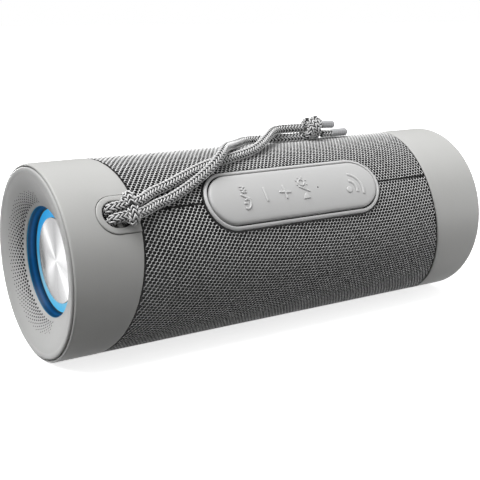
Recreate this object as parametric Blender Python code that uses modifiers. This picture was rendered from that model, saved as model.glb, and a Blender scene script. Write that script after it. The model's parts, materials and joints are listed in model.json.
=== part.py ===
"""Portable tube speaker lying on its side, with its button panel turned towards the front.

The tube's axis runs along X. The origin is under the middle of the body, on the surface it stands on.
The numbers below are millimetres; MM turns them into the scene's metres.
"""

import math

import bmesh
import bpy
from mathutils import Matrix, Vector

MM = 0.001

# Driving dimensions
BODY_RADIUS = 38.0
HALF_LENGTH = 100.5
GAP = 0.3
STAND_HEIGHT = 37.75  # the tube's axis above the surface it stands on

# Directions round the tube, in degrees from straight up towards the front
PANEL_ANGLE = 54.0
DRIVER_ANGLE = 118.0
PORT_ANGLE = -90.0
FOOT_ANGLE = 180.0
SPLIT_ANGLE = 100.0  # middle of the front half shell

# End caps: each inner edge lies in a plane that leans, so a cap is longest on the panel's side
CAP_LENGTH = 20.4
CAP_LEAN = 8.6
CAP_INNER_RADIUS = 36.3
CAP_END = 1.5  # the cap ends this far short of the bezel's rim

# Inner tube under the fabric
SHELL_OUTER = 36.0
SHELL_INNER = 32.4
SHELL_HALF_LENGTH = HALF_LENGTH - 13.9
FABRIC_RADIUS = 37.2

# Button panel, half sizes of its outline
PANEL_HALF_LENGTH = 42.8
PANEL_HALF_WIDTH = 12.4
PANEL_RIM = 2.4
PANEL_RIM_TOP = 38.9
SKIN_TOP = 39.4
SKIN_BOTTOM = 37.6
LEDGE_TOP = 37.3
KEY_POSITIONS = {"power_key": -25.6, "minus_key": -15.8, "plus_key": -6.2, "play_key": 3.6}
KEY_HALF_WIDTH = 4.1
KEY_HALF_HEIGHT = 7.0
KEY_TRAVEL = 0.4
MICROPHONE_X = 10.2
BOARD_TOP = 31.0
SWITCH_TOP = 33.2

# Lanyard eyelet in the left cap
EYELET_X = -79.2
EYELET_HALF_LENGTH = 6.0
EYELET_HALF_WIDTH = 5.3
EYELET_BAR_WIDTH = 1.8
BOSS_HALF_WIDTH = 7.6
BOSS_END_X = -87.5
BOSS_RADIUS = 38.5

# Drivers
DRIVER_X = 36.0
DRIVER_FACE = 25.6
DRIVER_FLANGE_RADIUS = 19.4
DRIVER_OPENING_RADIUS = 17.2

# Rear port, half sizes
PORT_HALF_LENGTH = 13.2
PORT_HALF_WIDTH = 4.4

CORD_RADIUS = 1.9

COLOURS = {
    "cap_grey": ((0.56, 0.56, 0.55), 0.45, 0.0),
    "bezel_grey": ((0.45, 0.45, 0.45), 0.5, 0.0),
    "panel_grey": ((0.5, 0.5, 0.5), 0.5, 0.0),
    "skin_grey": ((0.6, 0.6, 0.6), 0.6, 0.0),
    "fabric_grey": ((0.42, 0.42, 0.42), 0.9, 0.0),
    "cord_grey": ((0.5, 0.5, 0.5), 0.9, 0.0),
    "tip_grey": ((0.45, 0.45, 0.46), 0.4, 0.0),
    "light_blue": ((0.05, 0.55, 0.9), 0.3, 0.0),
    "deep_blue": ((0.01, 0.12, 0.35), 0.3, 0.0),
    "brushed_metal": ((0.85, 0.85, 0.86), 0.25, 1.0),
    "black_plastic": ((0.04, 0.04, 0.04), 0.5, 0.0),
    "black_rubber": ((0.05, 0.05, 0.05), 0.8, 0.0),
    "grey_rubber": ((0.4, 0.4, 0.4), 0.7, 0.0),
    "circuit_board": ((0.02, 0.2, 0.08), 0.4, 0.0),
    "steel": ((0.6, 0.6, 0.62), 0.3, 1.0),
    "paper_cone": ((0.08, 0.08, 0.08), 0.8, 0.0),
    "battery_wrap": ((0.1, 0.25, 0.5), 0.4, 0.0),
}


def clear_scene():
    for obj in list(bpy.data.objects):
        bpy.data.objects.remove(obj)


def new_collection(name):
    collection = bpy.data.collections.new(name)
    bpy.context.scene.collection.children.link(collection)
    return collection


def material(name):
    found = bpy.data.materials.get(name)
    if found:
        return found
    colour, roughness, metallic = COLOURS[name]
    made = bpy.data.materials.new(name)
    made.use_nodes = True
    shader = made.node_tree.nodes["Principled BSDF"]
    shader.inputs["Base Color"].default_value = (*colour, 1)
    shader.inputs["Roughness"].default_value = roughness
    shader.inputs["Metallic"].default_value = metallic
    return made


# Frames: a matrix places a piece's own axes in the scene


def round_frame(angle, x=0.0):
    """Origin on the tube's axis at x, Z pointing outwards at this angle, X along the tube."""
    place = Matrix.Translation((x * MM, 0, STAND_HEIGHT * MM))
    return place @ Matrix.Rotation(math.radians(angle), 4, "X")


def end_frame(side):
    """Origin at the middle of one end, Z pointing out of it along the tube's axis."""
    place = Matrix.Translation((side * HALF_LENGTH * MM, 0, STAND_HEIGHT * MM))
    return place @ Matrix.Rotation(side * math.pi / 2, 4, "Y")


def lean_frame(side):
    """Origin on the tube's axis in the plane of one cap's inner edge, X square to that plane."""
    lean = math.atan(CAP_LEAN / BODY_RADIUS)
    place = Matrix.Translation((side * (HALF_LENGTH - CAP_LENGTH) * MM, 0, 0))
    return round_frame(PANEL_ANGLE) @ place @ Matrix.Rotation(-side * lean, 4, "Y")


# Shapes


def add(name, mesh, frame, finish=None):
    """Puts a mesh in the scene as a part with a finish, or as a helper without one."""
    obj = bpy.data.objects.new(name, mesh)
    obj.matrix_world = frame
    if finish:
        mesh.materials.append(material(finish))
        parts.objects.link(obj)
    else:
        obj.hide_render = True
        obj.display_type = "WIRE"
        cutters.objects.link(obj)
    return obj


def turned(name, outline, frame, finish=None, steps=48, ring=True):
    """Turns (depth, radius) points round Z. Depth runs down from the frame's origin.

    The outline runs down the outer side first. A ring's outline closes on itself; any other starts and
    ends on the axis.
    """
    mesh = bpy.data.meshes.new(name)
    points = [(radius * MM, 0, -depth * MM) for depth, radius in outline]
    edges = [(i, i + 1) for i in range(len(points) - 1)]
    if ring:
        edges.append((len(points) - 1, 0))
    mesh.from_pydata(points, edges, [])
    obj = add(name, mesh, frame, finish)
    turn = obj.modifiers.new("Turn", "SCREW")
    turn.axis = "Z"
    turn.steps = turn.render_steps = steps
    turn.use_merge_vertices = True
    turn.merge_threshold = 1e-6
    turn.use_smooth_shade = True
    return obj


def tube(name, low, high, inner, outer, frame, finish=None, steps=48):
    """A round tube from height low to high above the frame's origin."""
    outline = [(-high, outer), (-low, outer), (-low, inner), (-high, inner)]
    return turned(name, outline, frame, finish, steps)


def rod(name, low, high, radius, frame, finish=None, steps=32):
    """A solid cylinder from height low to high above the frame's origin."""
    outline = [(-high, 0), (-high, radius), (-low, radius), (-low, 0)]
    return turned(name, outline, frame, finish, steps, ring=False)


def plate(name, outline, low, high, frame, finish=None):
    """A flat outline in X and Y, filled and thickened from height low to high."""
    shape = bmesh.new()
    corners = [shape.verts.new((x * MM, y * MM, low * MM)) for x, y in outline]
    face = shape.faces.new(corners)
    raised = bmesh.ops.extrude_face_region(shape, geom=[face])
    moved = [item for item in raised["geom"] if isinstance(item, bmesh.types.BMVert)]
    bmesh.ops.translate(shape, verts=moved, vec=(0, 0, (high - low) * MM))
    bmesh.ops.recalc_face_normals(shape, faces=shape.faces)
    mesh = bpy.data.meshes.new(name)
    shape.to_mesh(mesh)
    shape.free()
    return add(name, mesh, frame, finish)


def block(name, low, high, frame, finish=None):
    """A box between two opposite corners."""
    (x0, y0, z0), (x1, y1, z1) = low, high
    outline = [(x0, y0), (x1, y0), (x1, y1), (x0, y1)]
    return plate(name, outline, z0, z1, frame, finish)


def stadium(half_length, half_width, centre_x=0.0, steps=8):
    """A long round-ended outline, its long side along X or, if it is narrower there, along Y."""
    radius = min(half_length, half_width)
    reach_x, reach_y = half_length - radius, half_width - radius
    points = []
    for quarter, (sx, sy) in enumerate(((1, 1), (-1, 1), (-1, -1), (1, -1))):
        for step in range(steps + 1):
            turn = math.pi / 2 * (quarter + step / steps)
            x = centre_x + sx * reach_x + radius * math.cos(turn)
            y = sy * reach_y + radius * math.sin(turn)
            if not points or math.hypot(x - points[-1][0], y - points[-1][1]) > 1e-6:
                points.append((x, y))
    if math.hypot(points[0][0] - points[-1][0], points[0][1] - points[-1][1]) < 1e-6:
        points.pop()
    return points


def half_roll(depth, inner, outer, thickness, downwards, steps=4):
    """Outline of a surround: half a round bead between two radii, bulging down or up."""
    middle, reach = (inner + outer) / 2, (outer - inner) / 2
    way = 1 if downwards else -1
    turns = [math.pi * step / steps for step in range(steps + 1)]
    crest = [(depth + way * reach * math.sin(t), middle + reach * math.cos(t)) for t in turns]
    small = reach - thickness
    hollow = [(depth + way * small * math.sin(t), middle + small * math.cos(t)) for t in turns]
    loop = hollow + crest[::-1]
    return loop[::-1] if downwards else loop


def cut(target, *tools):
    change(target, "DIFFERENCE", tools)


def join(target, *tools):
    change(target, "UNION", tools)


def keep(target, *tools):
    change(target, "INTERSECT", tools)


def change(target, operation, tools):
    for tool in tools:
        modifier = target.modifiers.new(operation.title(), "BOOLEAN")
        modifier.operation = operation
        modifier.solver = "EXACT"
        modifier.object = tool


def side_name(side):
    return "left" if side < 0 else "right"


# The body's outside


def lean_cutter(name, side, inwards):
    """A block with one face in the plane of a cap's inner edge, reaching inwards or out over the cap."""
    start, reach = (0, 250) if inwards else (GAP, -60)
    near, far = -side * start, -side * reach
    low, high = min(near, far), max(near, far)
    return block(name, (low, -60, -60), (high, 60, 60), lean_frame(side))


def end_cap(side):
    """Sleeve round one end. Its outer end is rounded, and a flat underneath holds the foot pad."""
    name = f"{side_name(side)}_end_cap"
    outline = [
        (CAP_END, 37.0),
        (1.62, 37.45),
        (2.2, 37.85),
        (3.3, BODY_RADIUS),
        (34, BODY_RADIUS),
        (34, CAP_INNER_RADIUS),
        (11.4, CAP_INNER_RADIUS),
        (11.3, 36.9),
        (1.7, 36.9),
    ]
    cap = turned(name, outline, end_frame(side), "cap_grey")
    if side < 0:
        join(cap, eyelet_boss(), eyelet_cup())
    cut(cap, lean_cutter(f"{name}_edge", side, inwards=True))
    frame = round_frame(FOOT_ANGLE, side * (HALF_LENGTH - 8.2))
    cut(cap, block(f"{name}_flat", (-9, -20, 37.6), (12, 20, 50), frame))
    cut(cap, block(f"{name}_pad_seat", (-4.7, -4.8, 37.0), (4.7, 4.8, 50), frame))
    if side < 0:
        hole = stadium(EYELET_HALF_LENGTH, EYELET_HALF_WIDTH, EYELET_X)
        cut(cap, plate("eyelet_hole", hole, 30.0, 60, round_frame(PANEL_ANGLE)))
        join(cap, eyelet_bar())


def eyelet_boss():
    """Raised pad round the eyelet, rounded at its outer end and cut off by the cap's edge."""
    middle = (BOSS_END_X - 60) / 2
    outline = stadium(-60 - middle, BOSS_HALF_WIDTH, middle)
    boss = tube("eyelet_boss", 60, 90, 36.6, BOSS_RADIUS, end_tube_frame(), steps=96)
    keep(boss, plate("eyelet_boss_outline", outline, 20, 60, round_frame(PANEL_ANGLE)))
    return boss


def end_tube_frame():
    """Z runs along the tube's axis towards the left end, from the middle of the body."""
    return Matrix.Translation((0, 0, STAND_HEIGHT * MM)) @ Matrix.Rotation(-math.pi / 2, 4, "Y")


def eyelet_cup():
    """Closed pocket behind the eyelet, which keeps the body sealed."""
    outline = stadium(EYELET_HALF_LENGTH + 1.2, EYELET_HALF_WIDTH + 1.2, EYELET_X)
    return plate("eyelet_cup", outline, 28.8, 36.9, round_frame(PANEL_ANGLE))


def eyelet_bar():
    """Crossbar that the lanyard is hitched round."""
    half = EYELET_BAR_WIDTH / 2
    outline = [(-half, 35.6), (half, 35.6), (half, 36.8), (0.6 * half, 37.3), (-0.6 * half, 37.3), (-half, 36.8)]
    frame = round_frame(PANEL_ANGLE, EYELET_X) @ Matrix.Rotation(math.pi / 2, 4, "X")
    reach = EYELET_HALF_WIDTH + 0.6
    return plate("eyelet_bar", outline, -reach, reach, frame)


def foot_pad(side):
    frame = round_frame(FOOT_ANGLE, side * (HALF_LENGTH - 8.2))
    name = f"{side_name(side)}_foot_pad"
    block(name, (-4.4, -4.5, 37.3), (4.4, 4.5, STAND_HEIGHT), frame, "black_rubber")


def dish(depth, radius, rim_depth, rim_radius, steps, power):
    """Points of a bezel's dished face, from its opening out to its rim."""
    points = []
    for step in range(steps + 1):
        share = 1 - step / steps
        reach = rim_radius - (rim_radius - radius) * share
        points.append((rim_depth + (depth - rim_depth) * share**power, reach))
    return points


def bezel(side):
    """Dished ring that closes the cap's end round the light."""
    outline = [(0.3, 36.1), (1.4, 36.6), (11.1, 36.6), (11.1, 35.6), (2.6, 35.6)]
    outline += [(7.5, 22.4), (7.6, 21.1)]
    outline += dish(5.7, 21.1, 0.35, 34.3, 4, 1.3) + [(0.0, 35.2)]
    turned(f"{side_name(side)}_bezel", outline, end_frame(side), "bezel_grey")


def light_pieces(side):
    """Tunnel wall, lit ring and its board, from the opening inwards."""
    name, frame = side_name(side), end_frame(side)
    wall = [(6.0, 20.8), (8.0, 20.8), (8.0, 23.4), (8.9, 23.4), (8.9, 20.3), (6.0, 20.3)]
    turned(f"{name}_tunnel_ring", wall, frame, "deep_blue", steps=40)
    tube(f"{name}_light_guide", -10.6, -9.4, 16.8, 23.2, frame, "light_blue", steps=40)
    tube(f"{name}_light_board", -12.0, -10.9, 17.2, 23.7, frame, "circuit_board", steps=40)


def radiator(side):
    """Passive radiator: a metal plate on a cup that the surround lets move along the tube's axis."""
    name, frame = side_name(side), end_frame(side)
    plate_outline = [(9.4, 0), (9.2, 16.0), (9.35, 16.2), (10.0, 16.2), (10.0, 0)]
    turned(f"{name}_radiator_disc", plate_outline, frame, "brushed_metal", steps=40, ring=False)
    cup = [(10.3, 0), (10.3, 14.8), (15.2, 14.8), (15.2, 13.8), (11.3, 13.8), (11.3, 0)]
    turned(f"{name}_radiator_cup", cup, frame, "black_plastic", steps=40, ring=False)
    roll = half_roll(14.4, 15.1, 21.7, 0.8, downwards=True)
    turned(f"{name}_radiator_surround", roll, frame, "black_rubber", steps=40)
    seat = [(11.4, SHELL_OUTER), (13.6, SHELL_OUTER), (13.6, 25.0), (15.6, 25.0)]
    seat += [(15.6, 22.0), (12.3, 22.0), (12.3, 24.0), (11.4, 24.0)]
    frame_ring = turned(f"{name}_radiator_frame", seat, frame, "black_plastic", steps=40)
    cut(frame_ring, *screw_holes(side))


# Screws hold each radiator frame to the two half shells

SCREW_CIRCLE = 34.1
SCREW_ANGLES = {"front": 123.0, "rear": -57.0}


def screw_frame(side, angle):
    """Origin on a screw's axis at the body's end, Z pointing out of the end."""
    out = round_frame(angle) @ Vector((0, 0, SCREW_CIRCLE * MM))
    return Matrix.Translation((0, out.y, out.z - STAND_HEIGHT * MM)) @ end_frame(side)


def screw_holes(side):
    holes = []
    for half, angle in SCREW_ANGLES.items():
        name = f"{side_name(side)}_{half}_screw_hole"
        found = bpy.data.objects.get(name)
        holes.append(found or rod(name, -19.6, -5, 1.05, screw_frame(side, angle), steps=16))
    return holes


def screws(side):
    for half, angle in SCREW_ANGLES.items():
        outline = [(10.0, 0), (10.0, 1.15), (11.1, 1.15), (11.1, 0.75), (19.0, 0.75), (19.0, 0)]
        name = f"{side_name(side)}_{half}_screw"
        turned(name, outline, screw_frame(side, angle), "steel", steps=16, ring=False)


# Inner half shells and the fabric over them


def half_shell(name, middle_angle):
    """Half of the inner tube, which faces this way."""
    shell = tube(name, -SHELL_HALF_LENGTH, SHELL_HALF_LENGTH, SHELL_INNER, SHELL_OUTER, end_tube_frame(), "black_plastic")
    away = round_frame(middle_angle)
    cut(shell, block(f"{name}_split", (-120, -60, -60), (120, 60, GAP / 2), away))
    return shell


def front_shell():
    """Front half, with a seat for each driver, the panel's window and room for the eyelet's pocket."""
    shell = half_shell("front_shell", SPLIT_ANGLE)
    for side in (-1, 1):
        frame = round_frame(DRIVER_ANGLE, side * DRIVER_X)
        name = side_name(side)
        seat = tube(f"{name}_driver_seat", DRIVER_FACE + GAP, 40, DRIVER_OPENING_RADIUS - 1, 20.8, frame)
        keep(seat, rod(f"{name}_seat_limit", -80, 80, SHELL_OUTER - 0.4, end_tube_frame(), steps=64))
        join(shell, seat)
        cut(shell, rod(f"{name}_driver_window", 15, 60, DRIVER_OPENING_RADIUS, frame, steps=48))
        cut(shell, *screw_holes(side))
    window = stadium(PANEL_HALF_LENGTH - 5.0, PANEL_HALF_WIDTH - 5.0)
    cut(shell, plate("panel_window", window, 20, 60, round_frame(PANEL_ANGLE)))
    pocket = stadium(EYELET_HALF_LENGTH + 1.8, EYELET_HALF_WIDTH + 1.8, EYELET_X)
    cut(shell, plate("pocket_clearance", pocket, 20, 60, round_frame(PANEL_ANGLE)))


def rear_shell():
    """Rear half, with the port's window."""
    shell = half_shell("rear_shell", SPLIT_ANGLE - 180)
    for side in (-1, 1):
        cut(shell, *screw_holes(side))
    window = stadium(PORT_HALF_LENGTH + 1.6, PORT_HALF_WIDTH + 1.4)
    cut(shell, plate("port_window", window, 20, 60, round_frame(PORT_ANGLE)))


def fabric():
    """Knitted sleeve between the two caps' leaning edges, open round the panel and the port."""
    sleeve = tube("fabric_sleeve", -95, 95, 36.3, FABRIC_RADIUS, end_tube_frame(), "fabric_grey")
    for side in (-1, 1):
        cut(sleeve, lean_cutter(f"{side_name(side)}_fabric_edge", side, inwards=False))
    panel = stadium(PANEL_HALF_LENGTH + GAP, PANEL_HALF_WIDTH + GAP)
    cut(sleeve, plate("fabric_panel_opening", panel, 15, 60, round_frame(PANEL_ANGLE)))
    port = stadium(PORT_HALF_LENGTH + 4.1, PORT_HALF_WIDTH + 3.3)
    cut(sleeve, plate("fabric_port_opening", port, 15, 60, round_frame(PORT_ANGLE)))


# Button panel


def curved_plate(name, outline, inner, outer, angle, finish=None):
    """A piece of a tube wall round the body's axis, with this outline seen from outside."""
    reach = 1.05 * max(abs(x) for x, _ in outline)
    wall = tube(name, -reach, reach, inner, outer, end_tube_frame(), finish, steps=72)
    keep(wall, plate(f"{name}_outline", outline, 15, 60, round_frame(angle)))
    return wall


def panel_bezel():
    """Raised rim of the panel, with a ledge inside it for the skin."""
    outer = stadium(PANEL_HALF_LENGTH, PANEL_HALF_WIDTH)
    inner = stadium(PANEL_HALF_LENGTH - PANEL_RIM, PANEL_HALF_WIDTH - PANEL_RIM)
    through = stadium(PANEL_HALF_LENGTH - 4.6, PANEL_HALF_WIDTH - 4.6)
    rim = curved_plate("panel_bezel", outer, 36.3, PANEL_RIM_TOP, PANEL_ANGLE, "panel_grey")
    cut(rim, curved_plate("panel_recess", inner, LEDGE_TOP, 45, PANEL_ANGLE))
    cut(rim, plate("panel_through", through, 15, 60, round_frame(PANEL_ANGLE)))


def key_outline(x, spare=0.0):
    return stadium(KEY_HALF_WIDTH + spare, KEY_HALF_HEIGHT + spare, x)


def button_skin():
    """Soft cover of the panel, with a hole for each key and one for the microphone."""
    reach = PANEL_RIM + GAP
    outline = stadium(PANEL_HALF_LENGTH - reach, PANEL_HALF_WIDTH - reach)
    skin = curved_plate("button_skin", outline, SKIN_BOTTOM, SKIN_TOP, PANEL_ANGLE, "skin_grey")
    frame = round_frame(PANEL_ANGLE)
    for name, x in KEY_POSITIONS.items():
        cut(skin, plate(f"{name}_hole", key_outline(x, GAP), 15, 60, frame))
    cut(skin, rod("microphone_hole", 30, 50, 0.5, round_frame(PANEL_ANGLE, MICROPHONE_X), steps=12))


def keys():
    """Keys that press the switches on the board below, and those switches."""
    for name, x in KEY_POSITIONS.items():
        frame = round_frame(PANEL_ANGLE, x)
        key = plate(name, key_outline(0), 36.2, 45, frame, "skin_grey")
        keep(key, rod(f"{name}_top", -80, 80, SKIN_TOP, end_tube_frame(), steps=72))
        stem_bottom = SWITCH_TOP + KEY_TRAVEL + GAP
        join(key, rod(f"{name}_stem", stem_bottom, 37.0, 1.4, frame, steps=16))
        switch = block(name.replace("key", "switch"), (-2.2, -2.2, BOARD_TOP + GAP), (2.2, 2.2, 32.6), frame, "black_plastic")
        join(switch, rod(f"{name}_plunger", 32.0, SWITCH_TOP, 0.9, frame, steps=12))


def key_board():
    frame = round_frame(PANEL_ANGLE)
    block("key_board", (-32, -7.8, BOARD_TOP - 1.4), (15, 7.8, BOARD_TOP), frame, "circuit_board")
    can = round_frame(PANEL_ANGLE, MICROPHONE_X)
    rod("microphone", BOARD_TOP + GAP, 32.8, 2.0, can, "steel", steps=24)


# Drivers


def driver(side):
    """Full-range driver that fires forward through the fabric."""
    frame = round_frame(DRIVER_ANGLE, side * DRIVER_X)
    face = frame @ Matrix.Translation((0, 0, DRIVER_FACE * MM))
    name = side_name(side)
    basket = [(0, DRIVER_FLANGE_RADIUS), (1.4, DRIVER_FLANGE_RADIUS), (1.6, 17.7), (4.2, 17.6), (11.4, 12.5)]
    basket += [(12.7, 12.5), (12.7, 6.6), (11.7, 6.6), (10.2, 11.3), (3.4, 16.4), (0, 16.5)]
    turned(f"{name}_driver_basket", basket, face, "steel", steps=32)
    magnet = [(13.3, 0), (13.3, 11.0), (13.8, 11.5), (18.9, 11.5), (19.4, 11.0), (19.4, 0)]
    turned(f"{name}_driver_magnet", magnet, face, "steel", steps=24, ring=False)
    cone = [(5.4, 0), (5.8, 2.5), (7.0, 5.0), (7.6, 6.0), (2.4, 12.2), (2.4, 12.8), (3.0, 12.8)]
    cone += [(8.2, 6.2), (11.9, 6.2), (11.9, 5.7), (8.1, 5.6), (7.5, 4.6), (6.4, 2.3), (6.0, 0)]
    turned(f"{name}_driver_cone", cone, face, "paper_cone", steps=32, ring=False)
    roll = half_roll(2.4, 13.1, 16.1, 0.6, downwards=False)
    turned(f"{name}_driver_surround", roll, face, "black_rubber", steps=32)


# Electronics

BATTERY_ANGLE = -40.0
BATTERY_OFFSET = 13.0
BATTERY_RADIUS = 9.1


def battery():
    axis = round_frame(BATTERY_ANGLE) @ Vector((0, 0, BATTERY_OFFSET * MM))
    frame = Matrix.Translation(axis) @ Matrix.Rotation(-math.pi / 2, 4, "Y")
    rod("battery_cell", -32.5, 32.5, BATTERY_RADIUS, frame, "battery_wrap")
    middle = Matrix.Translation((0, 0, STAND_HEIGHT * MM))
    holder = block("battery_holder", (-35.5, -2.4, -1.3), (35.5, 19.2, 8.0), middle, "black_plastic")
    cut(holder, rod("battery_space", -33.0, 33.0, BATTERY_RADIUS + GAP, frame, steps=32))


def main_board():
    """Board with the charging and audio sockets on its rear edge."""
    middle = Matrix.Translation((0, 0, STAND_HEIGHT * MM))
    block("main_board", (-45, -3.0, -3.2), (45, 31.0, -1.6), middle, "circuit_board")
    charging = block("charging_socket", (-11.5, 24.2, -1.3), (-2.5, 31.6, 1.9), middle, "steel")
    cut(charging, block("charging_mouth", (-11.0, 25.2, -0.8), (-3.0, 35, 1.4), middle))
    audio = block("audio_socket", (4.6, 19.8, -1.3), (11.4, 31.6, 3.9), middle, "black_plastic")
    mouth = round_frame(PORT_ANGLE, 8.0) @ Matrix.Translation((0, -1.3 * MM, 0))
    cut(audio, rod("audio_mouth", 21.0, 36, 1.75, mouth, steps=16))


def port():
    """Frame of the rear port, and the rubber flap that closes it on a living hinge."""
    outer = stadium(PORT_HALF_LENGTH + 3.8, PORT_HALF_WIDTH + 3.0)
    rim = curved_plate("port_bezel", outer, 36.3, 37.8, PORT_ANGLE, "panel_grey")
    frame = round_frame(PORT_ANGLE)
    sleeve = stadium(PORT_HALF_LENGTH + 1.2, PORT_HALF_WIDTH + 1.0)
    join(rim, plate("port_sleeve", sleeve, 32.9, 36.8, frame))
    cut(rim, plate("port_hole", stadium(PORT_HALF_LENGTH, PORT_HALF_WIDTH), 15, 60, frame))
    flap = stadium(PORT_HALF_LENGTH - 0.4, PORT_HALF_WIDTH - 0.4)
    hinge = frame @ Matrix.Translation((0, PORT_HALF_WIDTH * MM, 37.5 * MM))
    moved = [(x, y - PORT_HALF_WIDTH) for x, y in flap]
    plate("port_flap", moved, -1.6, 0, hinge, "grey_rubber")


# Lanyard: (x, angle round the tube, distance from the tube's axis), from the bight of the hitch to the knot

HITCH = [
    (3.4, 0.3, 43.7),
    (3.5, 3.4, 43.6),
    (3.6, 5.0, 42.2),
    (3.3, 3.9, 41.0),
    (3.0, 2.5, 39.7),
    (2.9, 2.12, 37.8),
    (2.9, 2.12, 36.0),
    (2.6, 2.15, 34.2),
    (0.0, 2.1, 32.7),
    (-2.6, 2.15, 34.4),
    (-2.9, 2.15, 36.8),
    (-2.5, 2.1, 38.7),
    (0.0, 2.1, 39.8),
    (3.6, 2.1, 40.8),
]
UPPER_STRAND = [
    (-70.6, 49.6, 40.7),
    (-64.1, 44.7, 39.4),
    (-55.7, 40.5, 39.3),
    (-46.6, 35.1, 39.3),
    (-38.5, 30.4, 39.3),
    (-31.0, 26.8, 39.3),
    (-24.0, 24.8, 39.3),
    (-17.6, 22.3, 39.3),
    (-10.5, 19.2, 39.5),
    (-4.4, 15.2, 40.3),
    (1.8, 9.1, 41.6),
    (8.0, 2.8, 43.0),
    (13.0, 0.6, 43.4),
    (20.0, 0.4, 43.4),
    (25.2, 0.6, 43.2),
]
LOWER_STRAND = [
    (-70.6, 56.2, 40.7),
    (-64.0, 52.2, 39.4),
    (-58.4, 50.0, 39.3),
    (-52.5, 46.5, 39.3),
    (-46.3, 42.2, 39.5),
    (-40.0, 37.8, 40.6),
    (-34.8, 33.9, 42.2),
    (-29.6, 28.4, 43.4),
    (-24.4, 21.2, 42.8),
    (-18.4, 13.0, 40.6),
    (-11.9, 5.1, 39.3),
    (-4.0, -2.8, 39.3),
    (2.0, -5.0, 39.3),
    (8.6, -2.6, 39.3),
    (16.0, 0.4, 39.3),
    (25.2, 1.6, 39.3),
]
KNOT_PLACE = (30.4, 0.4, 43.0)
KNOT_RADII = (4.5, 5.4, 5.5)
UPPER_TIP = [(35.6, -1.6, 43.8), (39.5, -2.4, 43.8), (45.0, -2.6, 43.5)]
LOWER_TIP = [(35.3, 1.6, 40.2), (41.0, 1.6, 40.2), (50.0, 1.4, 40.2)]
TIP_RADIUS = 1.75


def on_tube(x, angle, radius):
    turn = math.radians(angle)
    return Vector((x, -radius * math.sin(turn), radius * math.cos(turn) + STAND_HEIGHT)) * MM


def in_hitch(x, across, out, way):
    """A point near the eyelet's bar: x from the bar, across it, and out from the tube's axis."""
    return round_frame(PANEL_ANGLE, EYELET_X) @ (Vector((x, way * across, out)) * MM)


def smooth_route(points, spacing):
    """Points at an even spacing along a smooth curve through the route's own points."""
    route = [points[0] * 2 - points[1], *points, points[-1] * 2 - points[-2]]
    fine = []
    for a, b, c, d in zip(route, route[1:], route[2:], route[3:]):
        for step in range(12):
            t = step / 12
            fine.append(
                0.5 * (2 * b + (c - a) * t + (2 * a - 5 * b + 4 * c - d) * t**2
                       + (3 * b - a - 3 * c + d) * t**3)
            )
    fine.append(points[-1])
    lengths = [0.0]
    for a, b in zip(fine, fine[1:]):
        lengths.append(lengths[-1] + (b - a).length)
    count = max(2, round(lengths[-1] / spacing))
    even, near = [], 0
    for step in range(count + 1):
        wanted = lengths[-1] * step / count
        while near < len(fine) - 2 and lengths[near + 1] < wanted:
            near += 1
        share = (wanted - lengths[near]) / (lengths[near + 1] - lengths[near])
        even.append(fine[near].lerp(fine[near + 1], share))
    return even


def cord(name, points, radius, finish, spacing):
    curve = bpy.data.curves.new(name, "CURVE")
    curve.dimensions = "3D"
    route = smooth_route(points, spacing * MM)
    line = curve.splines.new("POLY")
    line.points.add(len(route) - 1)
    for point, place in zip(line.points, route):
        point.co = (*place, 1)
    curve.bevel_depth = radius * MM
    curve.bevel_resolution = 2
    curve.use_fill_caps = True
    curve.materials.append(material(finish))
    parts.objects.link(bpy.data.objects.new(name, curve))


def strand_route(way, strand):
    """From the middle of the bight, round the bar and along the body to the knot."""
    return [in_hitch(*point, way) for point in HITCH] + [on_tube(*point) for point in strand]


def knot():
    shape = bmesh.new()
    bmesh.ops.create_uvsphere(shape, u_segments=16, v_segments=10, radius=MM)
    mesh = bpy.data.meshes.new("lanyard_knot")
    shape.to_mesh(mesh)
    shape.free()
    x, angle, out = KNOT_PLACE
    middle = round_frame(angle, x) @ Matrix.Translation((0, 0, out * MM))
    add("lanyard_knot", mesh, middle @ Matrix.Diagonal((*KNOT_RADII, 1)), "cord_grey")


def lanyard():
    cord("lanyard_upper_strand", strand_route(1, UPPER_STRAND), CORD_RADIUS, "cord_grey", 3.2)
    cord("lanyard_lower_strand", strand_route(-1, LOWER_STRAND), CORD_RADIUS, "cord_grey", 3.2)
    knot()
    for name, points in (("lanyard_upper_tip", UPPER_TIP), ("lanyard_lower_tip", LOWER_TIP)):
        cord(name, [on_tube(*point) for point in points], TIP_RADIUS, "tip_grey", 4)


clear_scene()
parts = new_collection("portable_speaker")
cutters = new_collection("cutters")
for end in (-1, 1):
    end_cap(end)
    foot_pad(end)
    bezel(end)
    light_pieces(end)
    radiator(end)
    screws(end)
    driver(end)
front_shell()
rear_shell()
fabric()
panel_bezel()
button_skin()
keys()
key_board()
battery()
main_board()
port()
lanyard()
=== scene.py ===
import json
import math

import bmesh
import bpy
import numpy as np
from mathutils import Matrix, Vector
from mathutils.geometry import delaunay_2d_cdt


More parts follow.
